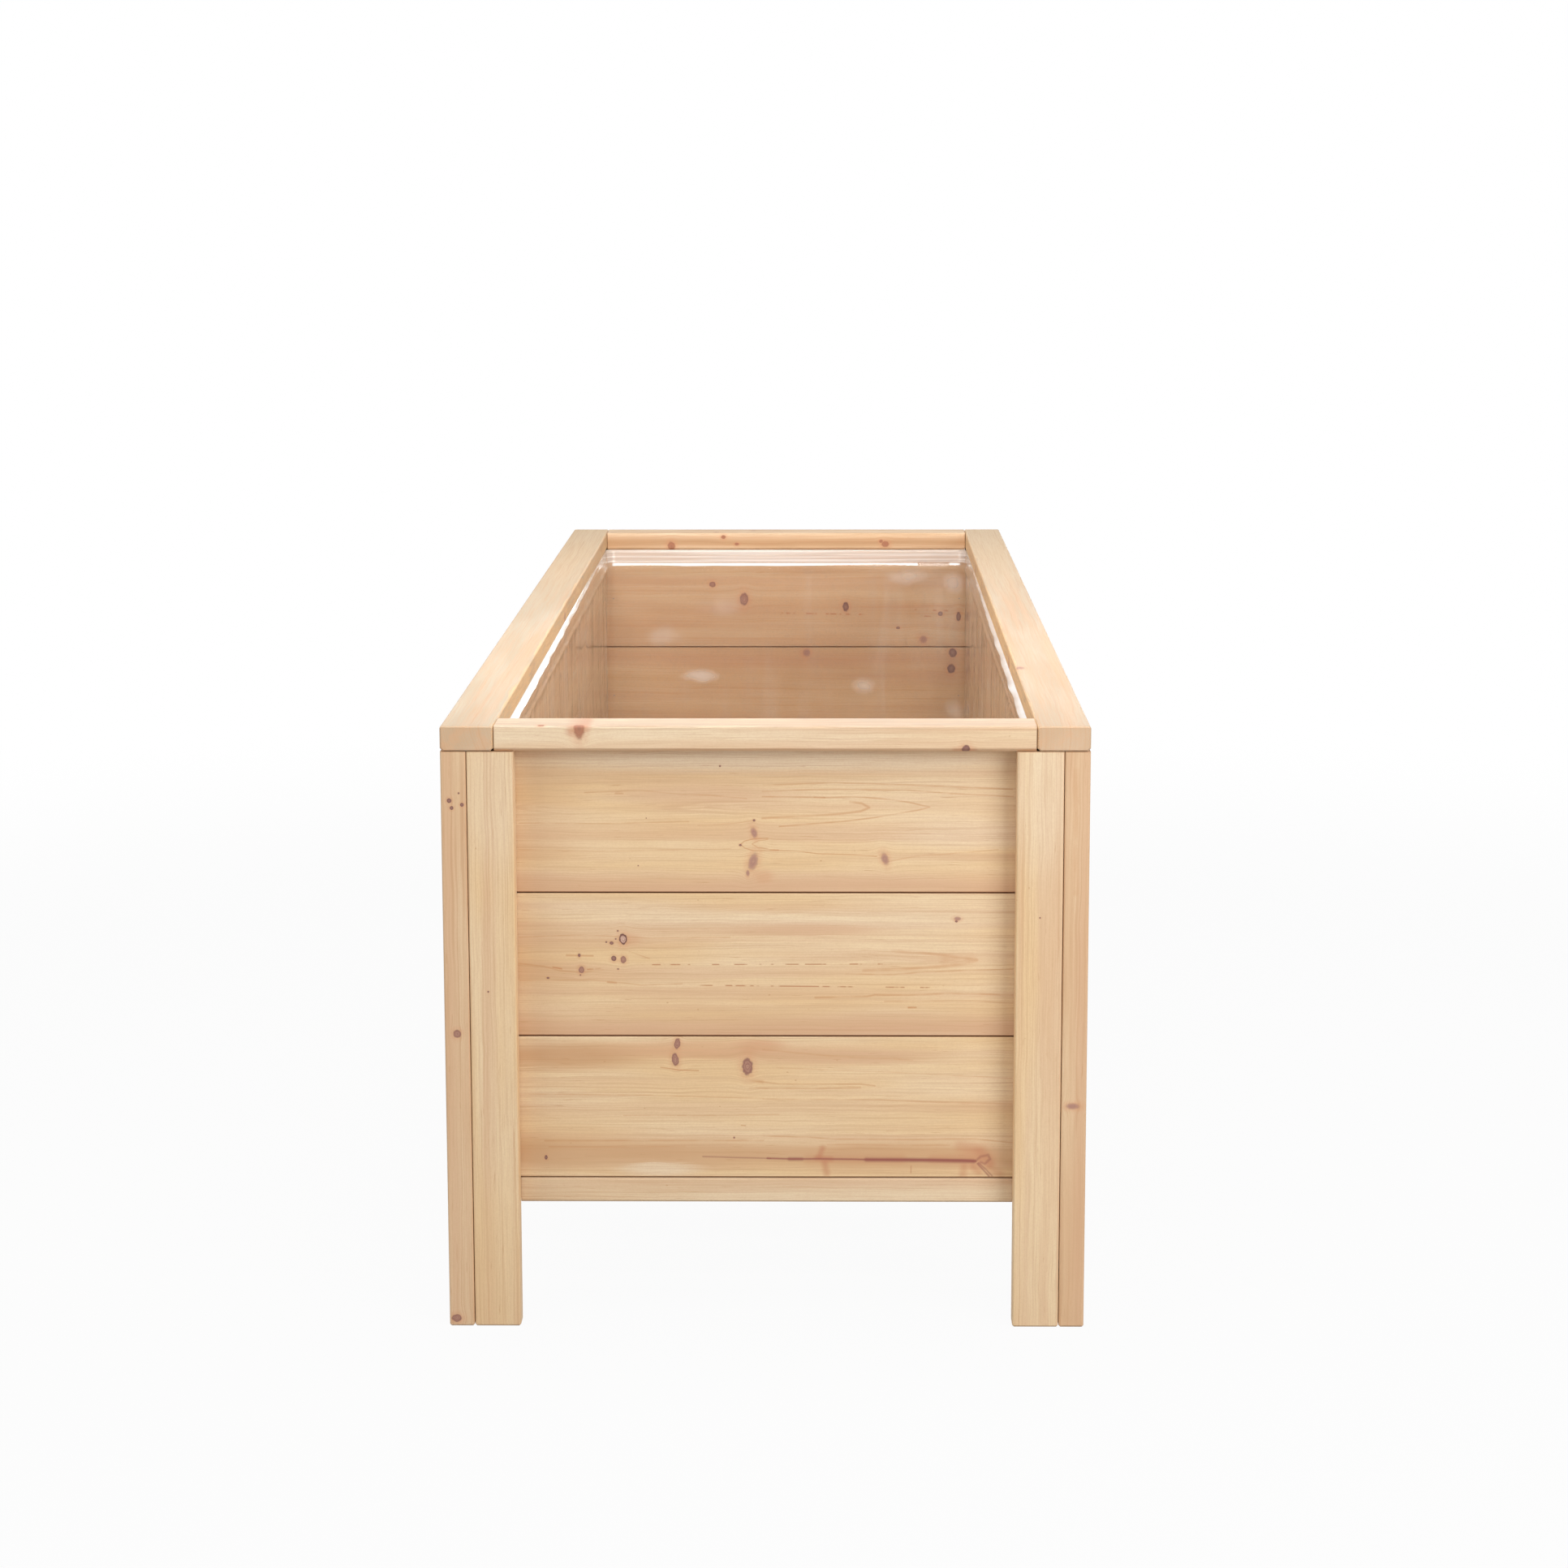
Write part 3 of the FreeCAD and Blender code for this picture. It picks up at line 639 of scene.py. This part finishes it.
        "cream": paint(203, 186, 163), "honey": paint(196, 174, 148), "lineStrength": 0.34,
        "endGrain": paint(236, 190, 146),
        "knots": [(-522, 259, 10.0, 5.0, "soft", 0, 586, 4), (-373, 255, 9.0, 5.0, "soft", 0, 569, 7),
                  (512, 255, 8.0, 5.0, "soft", 0, 570, 7)],
        "inner": paint(244, 207, 156), "far": paint(231, 203, 164),
        "tints": [(950, 280, 950, 60, "far", 0.9), (0, 254, 5000, 2.6, "inner", 0.95)],
    },
    "end_board_rear_3": {
        "cream": paint(217, 192, 158), "honey": paint(208, 175, 139), "rose": paint(196, 152, 120),
        "knots": [(-105, 511, 4.6, 4.1, "ringed"), (-60, 490, 6.4, 9.3, "ringed"),
                  (85, 479, 4.6, 7.0, "dark"),
                  (220, 469, 3.5, 3.5, "dark"), (160, 449, 2.9, 1.8, "dark"),
                  (196, 432, 5.8, 5.8, "soft"),
                  (246, 465, 3.5, 7.0, "dark")],
        "dashes": [(-8, 470, 113, 468, 1.4), (183, 475, 239, 473, 1.4), (187, 466, 215, 465, 1.2)],
        "bands": [(424, 14, 0.4), (545, 20, 0.4)],
    },
    "end_board_rear_2": {
        "cream": paint(221, 194, 157), "honey": paint(211, 178, 139), "rose": paint(200, 155, 123),
        "knots": [(29, 413, 5.8, 5.7, "soft"), (238, 413, 5.8, 6.8, "dark"),
                  (236, 390, 5.8, 7.0, "dark")],
        "bands": [(405, 22, 0.6)],
    },
    "leg_side_board_front_left": {
        "knots": [(514, -297, 2.3, 2.3, "dark"), (507, -295, 1.9, 1.9, "dark"),
                  (510, -285, 1.9, 1.9, "dark"),
                  (521, -288, 0.9, 0.9, "dark"), (289, -293, 4.0, 3.9, "ringed"),
                  (8, -298, 3.9, 5.1, "ringed")],
        "bands": [(-300, 12, 0.5)], "cream": paint(234, 205, 167), "honey": paint(222, 184, 144),
    },
    "leg_side_board_front_right": {
        "knots": [(219, 292, 3.2, 6.9, "soft")], "lines": [(3.0, 0.3, (426, 292), (543, 291))],
        "bands": [(300, 14, 0.6)], "cream": paint(234, 205, 167), "honey": paint(222, 184, 144),
    },
    # the pale tints lighten the tops of the legs and the honey tint darkens the left leg's foot: painted
    # light and painted shade, top to bottom
    "leg_end_board_front_left": {"knots": [(330, -263, 0.9, 0.9, "dark")], "lineStrength": 0.32,
                                 "tints": [(520, -259, 90, 40, "pale", 0.5),
                                           (60, -259, 120, 40, "honey", 0.5)]},
    "leg_end_board_front_right": {"knots": [(402, 259, 0.8, 0.8, "dark")], "lineStrength": 0.3,
                                  "tints": [(520, 259, 90, 40, "pale", 0.5)]},
    "bottom_rail_front": {"axes": "xzy", "knots": [], "lineStrength": 0.34,
                          "cream": paint(239, 216, 182), "honey": paint(231, 203, 166)},
    "bottom_rail_rear": {"axes": "xzy", "knots": []},
    "end_board_rear_1": {"cream": paint(236, 208, 174), "honey": paint(226, 191, 154)},
}

woodAxes = {  # the letters along the grain, across it and through it
    "leg_side_board": "zxy",
    "leg_end_board": "zxy",
    "side_board": "yzx",
    "end_board": "xzy",
    "rim_cap_left": "yxz",
    "rim_cap_right": "yxz",
    "rim_cap": "xyz",
    "bottom_rail_left": "yxz",
    "bottom_rail_right": "yxz",
    "bottom_rail": "xyz",
    "floor_slat": "xyz",
}


def scatterKnots(name, axes, dice):  # a few knots for a piece that the photo doesn't show
    low, high = boxInMm(name)
    first, second = ("xyz".index(letter) for letter in axes[:2])
    knots = []
    count = round((high[first] - low[first]) / 380 + dice.random())
    for _ in range(count):
        size = dice.uniform(2.0, 6.5)
        kind = dice.choice(("dark", "ringed", "soft"))
        spot = (dice.uniform(low[first], high[first]), dice.uniform(low[second], high[second]))
        lean = dice.uniform(-20, 20)
        knots.append((*spot, size * dice.uniform(0.7, 1.0), size * dice.uniform(0.9, 1.4), kind, lean))
    return knots


def woodLook(name, number):
    dice = random.Random(4100 + number)
    kind = next(key for key in woodAxes if name.startswith(key))
    placed = placedLooks.get(name, {})
    axes = placed.get("axes", woodAxes[kind])
    low, high = boxInMm(name)
    first, second, third = ("xyz".index(letter) for letter in axes)
    middle = [(low[i] + high[i]) / 2 for i in range(3)]
    look = {
        **(dict(softwood["sideBoardsPaintedLight"]) if name.startswith("side_board") else {}),
        "axes": axes,
        "seed": number * 7.31,
        "wave": 5.0,
        "pith": (middle[second] + dice.choice((-1, 1)) * dice.uniform(60, 160),
                 middle[third] + dice.uniform(-60, 60), middle[first]),
        "slope": dice.uniform(-0.02, 0.02),
        "squash": 1.0,
        "ringWidth": dice.uniform(3.0, 5.0),
        "lineStrength": softwood["lineStrength"],
        "ends": [(low[first] + 1.2, low[first] + 0.2), (high[first] - 1.2, high[first] - 0.2)],
        "knots": placed["knots"] if "knots" in placed else scatterKnots(name, axes, dice),
    }
    # painted shade along each wall board's top and bottom edge, where it meets its neighbour
    if "_board_" in name and "leg" not in name:
        foot = low[second]
        top = foot + boardFace
        look["seams"] = [(foot + 1.5, foot + 0.3), (top - 0.6, top + 0.3)]
    look.update(placed)
    if "height" in placed:
        look["pith"] = (placed["pith"][0], middle[third] - placed["height"], placed["pith"][2])
    return look


woodNames = [name for name in sorted(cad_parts) if any(name.startswith(key) for key in woodAxes)]
for number, name in enumerate(woodNames):
    dress(name, makeWood("wood_" + name, woodLook(name, number)))
print("softwood on", len(woodNames), "pieces")


# zinc plated fixings

def makeZinc():
    material, tree = newMaterial("zinc")
    spot = addNode(tree, "ShaderNodeTexCoord", output="Object")
    worn = addNode(tree, "ShaderNodeTexNoise", sockets={"Vector": spot, "Scale": 900.0, "Detail": 3.0})
    colour = blend(worn.fade(0.35, 0.7), paint(168, 170, 172), paint(120, 121, 124))
    sockets = {"Base Color": colour, "Metallic": 1.0, "Roughness": worn.fade(0.3, 0.7, 0.3, 0.5)}
    surface(tree, addNode(tree, "ShaderNodeBsdfPrincipled", sockets=sockets))
    return material


screws = {  # in metres, named as the tree's inputs
    "Head radius": 0.0047,
    "Head depth": 0.0026,
    "Dome": 0.0007,
    "Recess length": 0.0056,
    "Recess width": 0.0012,
    "Recess depth": 0.0016,
    "Shank radius": 0.0023,
    "Length": 0.06,
    "Seed": 7,
}
wholeTurn = 6.28


def looseParts(name):  # the points of each separate solid in a CAD node
    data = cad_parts[name].data
    spots = [tuple(round(value * 1e6) for value in vertex.co) for vertex in data.vertices]
    leads = {spot: spot for spot in spots}

    def leader(spot):
        while leads[spot] != spot:
            spot = leads[spot]
        return spot

    for face in data.polygons:
        first = leader(spots[face.vertices[0]])
        for index in face.vertices[1:]:
            leads[leader(spots[index])] = first
    parts = {}
    for spot in leads:
        parts.setdefault(leader(spot), []).append(Vector(spot) * 1e-6)
    return list(parts.values())


def headPlace(points):  # the middle of a screw's head, the way it looks, and the screw's length
    low, high = ([pick(point[i] for point in points) for i in range(3)] for pick in (min, max))
    axis = max(range(3), key=lambda i: high[i] - low[i])
    middle = [(low[i] + high[i]) / 2 for i in range(3)]

    def spread(end):
        return max(sum(abs(point[i] - middle[i]) for i in range(3) if i != axis)
                   for point in points if abs(point[axis] - end) < 1e-4)

    outwards = 1 if spread(high[axis]) > spread(low[axis]) else -1
    middle[axis] = high[axis] if outwards > 0 else low[axis]
    facing = [0, 0, 0]
    facing[axis] = outwards
    return middle, facing, high[axis] - low[axis]


def shifted(tree, shape, height):  # moved along z
    shift = vector(tree, 0.0, 0.0, height)
    return addNode(tree, "GeometryNodeTransform", sockets={"Geometry": shape, "Translation": shift})


def makeScrewTree(material):
    tree = bpy.data.node_groups.new("roundHeadScrews", "GeometryNodeTree")
    tree.interface.new_socket("Geometry", in_out="INPUT", socket_type="NodeSocketGeometry")
    for title in screws:
        kind = "NodeSocketInt" if title == "Seed" else "NodeSocketFloat"
        tree.interface.new_socket(title, in_out="INPUT", socket_type=kind)
    tree.interface.new_socket("Geometry", in_out="OUTPUT", socket_type="NodeSocketGeometry")
    sources = tree.nodes.new("NodeGroupInput").outputs
    given = {socket.name: Signal(tree, socket) for socket in sources if socket.name}
    head = addNode(tree, "GeometryNodeMeshCylinder", sockets={
        "Vertices": 24, "Side Segments": 1, "Fill Segments": 3,
        "Radius": given["Head radius"], "Depth": given["Head depth"]}, output="Mesh")
    x, y, z = threeAxes(tree, addNode(tree, "GeometryNodeInputPosition"))
    share = (x * x + y * y) / (given["Head radius"] * given["Head radius"])
    rise = given["Dome"] * (1 - share) * z.maths("GREATER_THAN", z, 0.0)
    lift = vector(tree, 0.0, 0.0, rise)
    head = addNode(tree, "GeometryNodeSetPosition", sockets={"Geometry": head, "Offset": lift})
    top = given["Head depth"] * 0.5 + given["Dome"]
    long, wide = given["Recess length"], given["Recess width"]
    for sides in ((long, wide), (wide, long)):
        size = vector(tree, *sides, given["Recess depth"] * 2)
        bar = addNode(tree, "GeometryNodeMeshCube", sockets={"Size": size}, output="Mesh")
        sockets = {"Mesh 1": head, "Mesh 2": shifted(tree, bar, top)}
        head = addNode(tree, "GeometryNodeMeshBoolean", {"operation": "DIFFERENCE"}, sockets, "Mesh")
    head = shifted(tree, head, (given["Head depth"] + given["Dome"]) * -0.5)  # only the dome stands proud
    depth = given["Length"] - given["Head depth"]
    sockets = {"Vertices": 12, "Radius": given["Shank radius"], "Depth": depth}
    shank = addNode(tree, "GeometryNodeMeshCylinder", sockets=sockets, output="Mesh")
    shank = shifted(tree, shank, given["Length"] * -0.5)
    join = tree.nodes.new("GeometryNodeJoinGeometry")
    for part in (head, shank):
        tree.links.new(part.socket, join.inputs[0])
    settings = {"data_type": "FLOAT_VECTOR"}
    facing = addNode(tree, "GeometryNodeInputNamedAttribute", settings, {"Name": "facing"})
    sockets = {2: 0.0, 3: wholeTurn, 8: given["Seed"]}
    spin = addNode(tree, "FunctionNodeRandomValue", {"data_type": "FLOAT"}, sockets, 1)
    turn = addNode(tree, "FunctionNodeEulerToRotation", sockets={0: vector(tree, 0.0, 0.0, spin)})
    sockets = {"Rotation": turn, "Vector": facing}
    turn = addNode(tree, "FunctionNodeAlignRotationToVector", {"axis": "Z"}, sockets)
    each = addNode(tree, "GeometryNodeInstanceOnPoints", sockets={
        "Points": given["Geometry"], "Instance": Signal(tree, join.outputs[0]), "Rotation": turn})
    solid = addNode(tree, "GeometryNodeRealizeInstances", sockets={"Geometry": each})
    done = addNode(tree, "GeometryNodeSetMaterial", sockets={"Geometry": solid, "Material": material})
    tree.links.new(done.socket, tree.nodes.new("NodeGroupOutput").inputs[0])
    return tree


def makeScrews(name, tree):
    places, facings, lengths = zip(*(headPlace(points) for points in looseParts(name)))
    data = bpy.data.meshes.new(name + "_places")
    data.from_pydata(places, [], [])
    facing = data.attributes.new("facing", "FLOAT_VECTOR", "POINT")
    facing.data.foreach_set("vector", [value for way in facings for value in way])
    piece = addThing(name + "_heads", data)
    modifier = piece.modifiers.new("screws", "NODES")
    modifier.node_group = tree
    for socket in tree.interface.items_tree:
        if socket.in_out == "INPUT" and socket.name in screws:
            modifier[socket.identifier] = max(lengths) if socket.name == "Length" else screws[socket.name]
    whole = piece.evaluated_get(bpy.context.evaluated_depsgraph_get())
    mesh = bpy.data.meshes.new_from_object(whole)
    piece.modifiers.clear()
    piece.data = mesh
    dress(piece, zinc)
    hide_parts(name)
    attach(piece, body)
    return len(places)


zinc = makeZinc()
for name in ("cap_staples", "end_wall_brads", "slat_brads"):
    dress(name, zinc)
screwTree = makeScrewTree(zinc)
count = sum(makeScrews(name, screwTree) for name in ("corner_screws", "side_wall_screws", "rail_screws"))
print("fixings,", count, "screws among them")


# clear film liner

liner = {
    "standoff": 3.0,  # mm between the wall boards and the hanging film
    "cornerRadius": 12.0,
    "cornerSteps": 8,
    "spacing": 9.0,  # mm between points
    "lipFoot": 541.4,  # height at which the film leaves the slope under the rim
    "lipSteps": 8,
    "rollDepth": 2.2,  # how far the roll under the lip stands out
    "rollHeight": 9,
    "ledgeDepth": 7.0,  # how far the lip bulges along the side walls, at the front
    "ledgeEnd": 620.0,  # where along the bed that bulge has gone
    "waviness": 2.4,
    "creaseDepth": 1.6,  # on the side walls
    "endCrease": 0.3,
    "ends": (840, 850, 858),  # mm from the middle at which creases stop, end haze begins and is full
    "slitLength": 60.0,
    "slitWidth": 2.0,
}
hazeAndGlintSpots = [  # whitish patches, partly the film's own haze and partly painted reflections, and one painted glint on the right wall: place, reach and strength, in mm
    ((174, 862, 524), (34, 30, 13), 0.28), ((237, 862, 512), (14, 30, 18), 0.3), ((-91, 862, 479),
    (36, 30, 16), 0.16),
    ((-175, 862, 437), (26, 30, 14), 0.2), ((-125, 862, 380), (24, 30, 9), 0.42), ((112, 862, 366),
    (17, 30, 13), 0.4),
    ((240, 862, 330), (14, 30, 16), 0.26), ((251, -288, 538), (5, 4, 2.2), 0.95),
]


def evenPlaces(marks, spacing):  # the marks, with even steps of about the spacing between them
    places = [marks[0]]
    for before, after in zip(marks, marks[1:]):
        count = max(1, round((after - before) / spacing))
        places += [before + (after - before) * step / count for step in range(1, count + 1)]
    return places


def filmProfile(top, floor):  # (distance from the wall, height, share of the waves), from the clamp down
    keys = ("standoff", "lipFoot", "rollHeight", "lipSteps")
    reach, foot, rollHeight, steps = (liner[key] for key in keys)
    profile = [(-17.5, top, 0.0), (-9.0, top, 0.0), (-1.5, top, 0.0), (0.1, top - 0.4, 0.0)]
    profile.append((0.6, top - 1.8, 0.0))
    for step in range(1, steps + 1):
        share = step / steps
        crimp = 0.25 * math.sin(share * 5 * math.pi)
        out, height = 0.6 + (reach - 0.6) * share + crimp, top - 1.8 + (foot - top + 1.8) * share
        profile.append((out, height, 0.15 * share))
    for share in (0.25, 0.5, 0.75):
        out = reach + liner["rollDepth"] * math.sin(share * math.pi)
        profile.append((out, foot - rollHeight * share, 0.25 + 0.3 * share))
    for height in evenPlaces([floor + 6, foot - rollHeight], 9.5)[::-1]:
        profile.append((reach, height, min(1.0, (height - floor) / 60)))
    profile += [(reach + 0.5, floor + 2.5, 0.0), (reach + 2.0, floor + 0.5, 0.0)]
    profile.append((reach + 4.5, floor, 0.0))
    return profile


def filmLedge(x, y, z, outX):  # the bulge of the lip along the side walls, largest at the front
    along = max(0.0, min(1.0, (liner["ledgeEnd"] - y) / 1500))
    ripple = 0.85 + 0.4 * noise.noise(Vector((x, y * 0.012, 3)))
    rise = max(0.0, min((558.8 - z) / 2.1, (z - 541) / 15.5))
    return liner["ledgeDepth"] * abs(outX) * along ** 0.7 * ripple * math.sin(rise * math.pi / 2)


def filmWave(x, y, z):  # how far the hanging film stands off its mean place
    slow = noise.noise(Vector((x * 0.011 + 4, y * 0.011, z * 0.004)))
    ridge = 1 - abs(noise.noise(Vector((x * 0.03, y * 0.022 + 9, z * 0.0035 + y * 0.002))))
    crease = liner["endCrease"] if abs(y) > liner["ends"][0] else liner["creaseDepth"]
    return liner["waviness"] * slow + crease * (ridge ** 7 - 0.25)


def makeLiner():
    low, high = boxInMm("liner")
    wallX = -boxInMm("side_board_left_3")[1][0]
    wallY = boxInMm("end_board_rear_3")[0][1]
    top, floor = high[2] - 0.25, low[2] + 0.25
    radius, reach = liner["cornerRadius"], liner["standoff"]
    endX, endY = wallX - reach - radius, wallY - reach - radius  # where the straight stretches end
    slats = sorted(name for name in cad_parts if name.startswith("floor_slat"))
    gaps = [(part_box(before)[1][1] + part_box(after)[0][1]) * 500 for before, after in zip(slats, slats[1:])]
    slits = [(gap - liner["slitWidth"] / 2, gap + liner["slitWidth"] / 2) for gap in gaps]
    halfSlit = liner["slitLength"] / 2
    across = evenPlaces([-endX, -halfSlit, halfSlit, endX], liner["spacing"])
    slitEdges = [edge for slit in slits for edge in slit]
    lengthwise = evenPlaces([-endY, *slitEdges, endY], liner["spacing"])
    outline = []  # (place on the line of the arcs' centres, direction outwards)
    corners = [(1, -1, -90), (1, 1, 0), (-1, 1, 90), (-1, -1, 180)]
    for index, (signX, signY, start) in enumerate(corners):
        for step in range(liner["cornerSteps"] + 1):
            angle = math.radians(start + 90 * step / liner["cornerSteps"])
            outline.append((signX * endX, signY * endY, math.cos(angle), math.sin(angle)))
        places = (lengthwise, across[::-1], lengthwise[::-1], across)[index][1:-1]
        for place in places:
            outline.append(((endX, place, 1, 0), (place, endY, 0, 1),
                            (-endX, place, -1, 0), (place, -endY, 0, -1))[index])
    mesh = bmesh.new()
    rings = []
    for distance, height, share in filmProfile(top, floor):
        ring = []
        for x, y, outX, outY in outline:
            out = radius + reach - distance
            if share:
                out -= share * filmWave(x + outX * radius, y + outY * radius, height)
            out -= filmLedge(x, y, height, outX)
            ring.append(mesh.verts.new(((x + outX * out) * mm, (y + outY * out) * mm, height * mm)))
        rings.append(ring)
    count = len(outline)
    for upper, lower in zip(rings, rings[1:]):
        for index in range(count):
            after = (index + 1) % count
            mesh.faces.new((upper[index], upper[after], lower[after], lower[index]))
    inner = {}
    for x in across:
        for y in lengthwise:
            lift = 0.5 * max(0.0, noise.noise(Vector((x * 0.02, y * 0.02, 7))))
            inner[x, y] = mesh.verts.new((x * mm, y * mm, (floor + lift) * mm))
    for left, right in zip(across, across[1:]):
        for front, rear in zip(lengthwise, lengthwise[1:]):
            if (front, rear) in slits and left >= -halfSlit - 0.01 and right <= halfSlit + 0.01:
                continue
            around = ((left, front), (right, front), (right, rear), (left, rear))
            mesh.faces.new([inner[spot] for spot in around])
    edge = [inner[x, y] for x, y, _, _ in outline]  # the floor's edge, met again at each corner
    for index in range(count):
        after = (index + 1) % count
        spots = [rings[-1][index], rings[-1][after], edge[after], edge[index]]
        mesh.faces.new(spots if edge[index] != edge[after] else spots[:3])
    data = bpy.data.meshes.new("filmLiner")
    mesh.to_mesh(data)
    mesh.free()
    for face in data.polygons:
        face.use_smooth = True
    return addThing("filmLiner", data)


def makeFilm():
    material, tree = newMaterial("clearFilm")
    x, y, z = millimetres(tree)
    grit = cloud(tree, vector(tree, x * 0.5, y * 0.5, z * 0.5), 2.0)
    soft = cloud(tree, vector(tree, x * 0.03, y * 0.03, z * 0.03), 2.0)
    drape = cloud(tree, vector(tree, x * 0.02, y * 0.014, z * 0.003), 3.0)
    lines = cloud(tree, vector(tree, x * 0.004, y * 0.004, z * 0.45), 2.0)
    foot = liner["lipFoot"]
    edge = (cloud(tree, vector(tree, x * 0.012, y * 0.012, 5.0), 1.0) - 0.5) * 9
    # whitish vertical streaks on the side walls
    streaks = cloud(tree, vector(tree, x * 0.25, y * 0.02, z * 0.006 + y * 0.004), 2.0, 0.6)
    ends = y.size().fade(*liner["ends"][1:])
    # the film's own haze, to which painted highlights and painted reflections are added below
    hazeAndPaintedSheen = grit.fade(0.4, 0.75, 0.015, 0.07) + drape.fade(0.5, 0.72, 0.0, 0.1)
    hazeAndPaintedSheen = hazeAndPaintedSheen + streaks.fade(0.55, 0.72, 0.0, 0.12) * (1 - ends)
    # the lip on the end walls: partly the film's milky haze, partly a painted reflection of the sky on its
    # slope
    lipHazeAndSheen = z.fade(foot + 1.0, foot + 2.5) * lines.fade(0.35, 0.65, 0.3, 0.62) * ends
    # roll is a painted highlight: a thin white line where the film rolls out under the lip, only over the
    # spans of x where it shows
    roll = z.fade(foot + 0.4, foot + 1.4, 1.0, 0.0) * (z + edge * 0.6).fade(foot - 2.9, foot - 1.6)
    paintedHighlightSpan = x.fade(186, 189, 1.0, 0.0).above(x.fade(230, 234)) * x.size().fade(246, 249, 1.0, 0.0)
    # painted reflection: a white strip on the lip along the side walls, fading towards the far end
    paintedLedgeReflection = z.fade(foot + 13.5, foot + 15.0) * (1 - ends) * y.fade(300, 640, 0.95, 0.0)
    hazeAndPaintedSheen = hazeAndPaintedSheen.above(lipHazeAndSheen).above(roll * paintedHighlightSpan * ends * 0.7).above(paintedLedgeReflection)
    # whitish patches, partly haze and partly painted reflections, and one painted glint
    for centre, reach, strength in hazeAndGlintSpots:
        steps = [(axis - middle) / size for axis, middle, size in zip((x, y, z), centre, reach)]
        square = steps[0] * steps[0] + steps[1] * steps[1] + steps[2] * steps[2]
        apart = square.root() + (soft - 0.5) * 1.4
        hazeAndPaintedSheen = hazeAndPaintedSheen.above(apart.fade(0.0, 1.5, strength, 0.0))
    relief = grit * 0.04 + soft
    bump = addNode(tree, "ShaderNodeBump", sockets={"Strength": 0.2, "Distance": 0.002, "Height": relief})
    rim = addNode(tree, "ShaderNodeFresnel", sockets={"IOR": 1.6})
    gloss = addNode(tree, "ShaderNodeBsdfPrincipled", sockets={
        "Base Color": (0.94, 0.92, 0.89, 1), "Metallic": rim / (rim + hazeAndPaintedSheen * 1.5), "Roughness": 0.14,
        "Normal": bump})
    clear = addNode(tree, "ShaderNodeBsdfTransparent", sockets={"Color": (0.975, 0.963, 0.95, 1)})
    lampRay = addNode(tree, "ShaderNodeLightPath", output="Is Shadow Ray")
    share = (rim + hazeAndPaintedSheen).below(1.0) * (1 - lampRay)
    surface(tree, addNode(tree, "ShaderNodeMixShader", sockets={0: share, 1: clear, 2: gloss}))
    return material


filmLiner = makeLiner()
dress(filmLiner, makeFilm())
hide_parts("liner")
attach(filmLiner, body)
print("liner of", len(filmLiner.data.polygons), "faces")
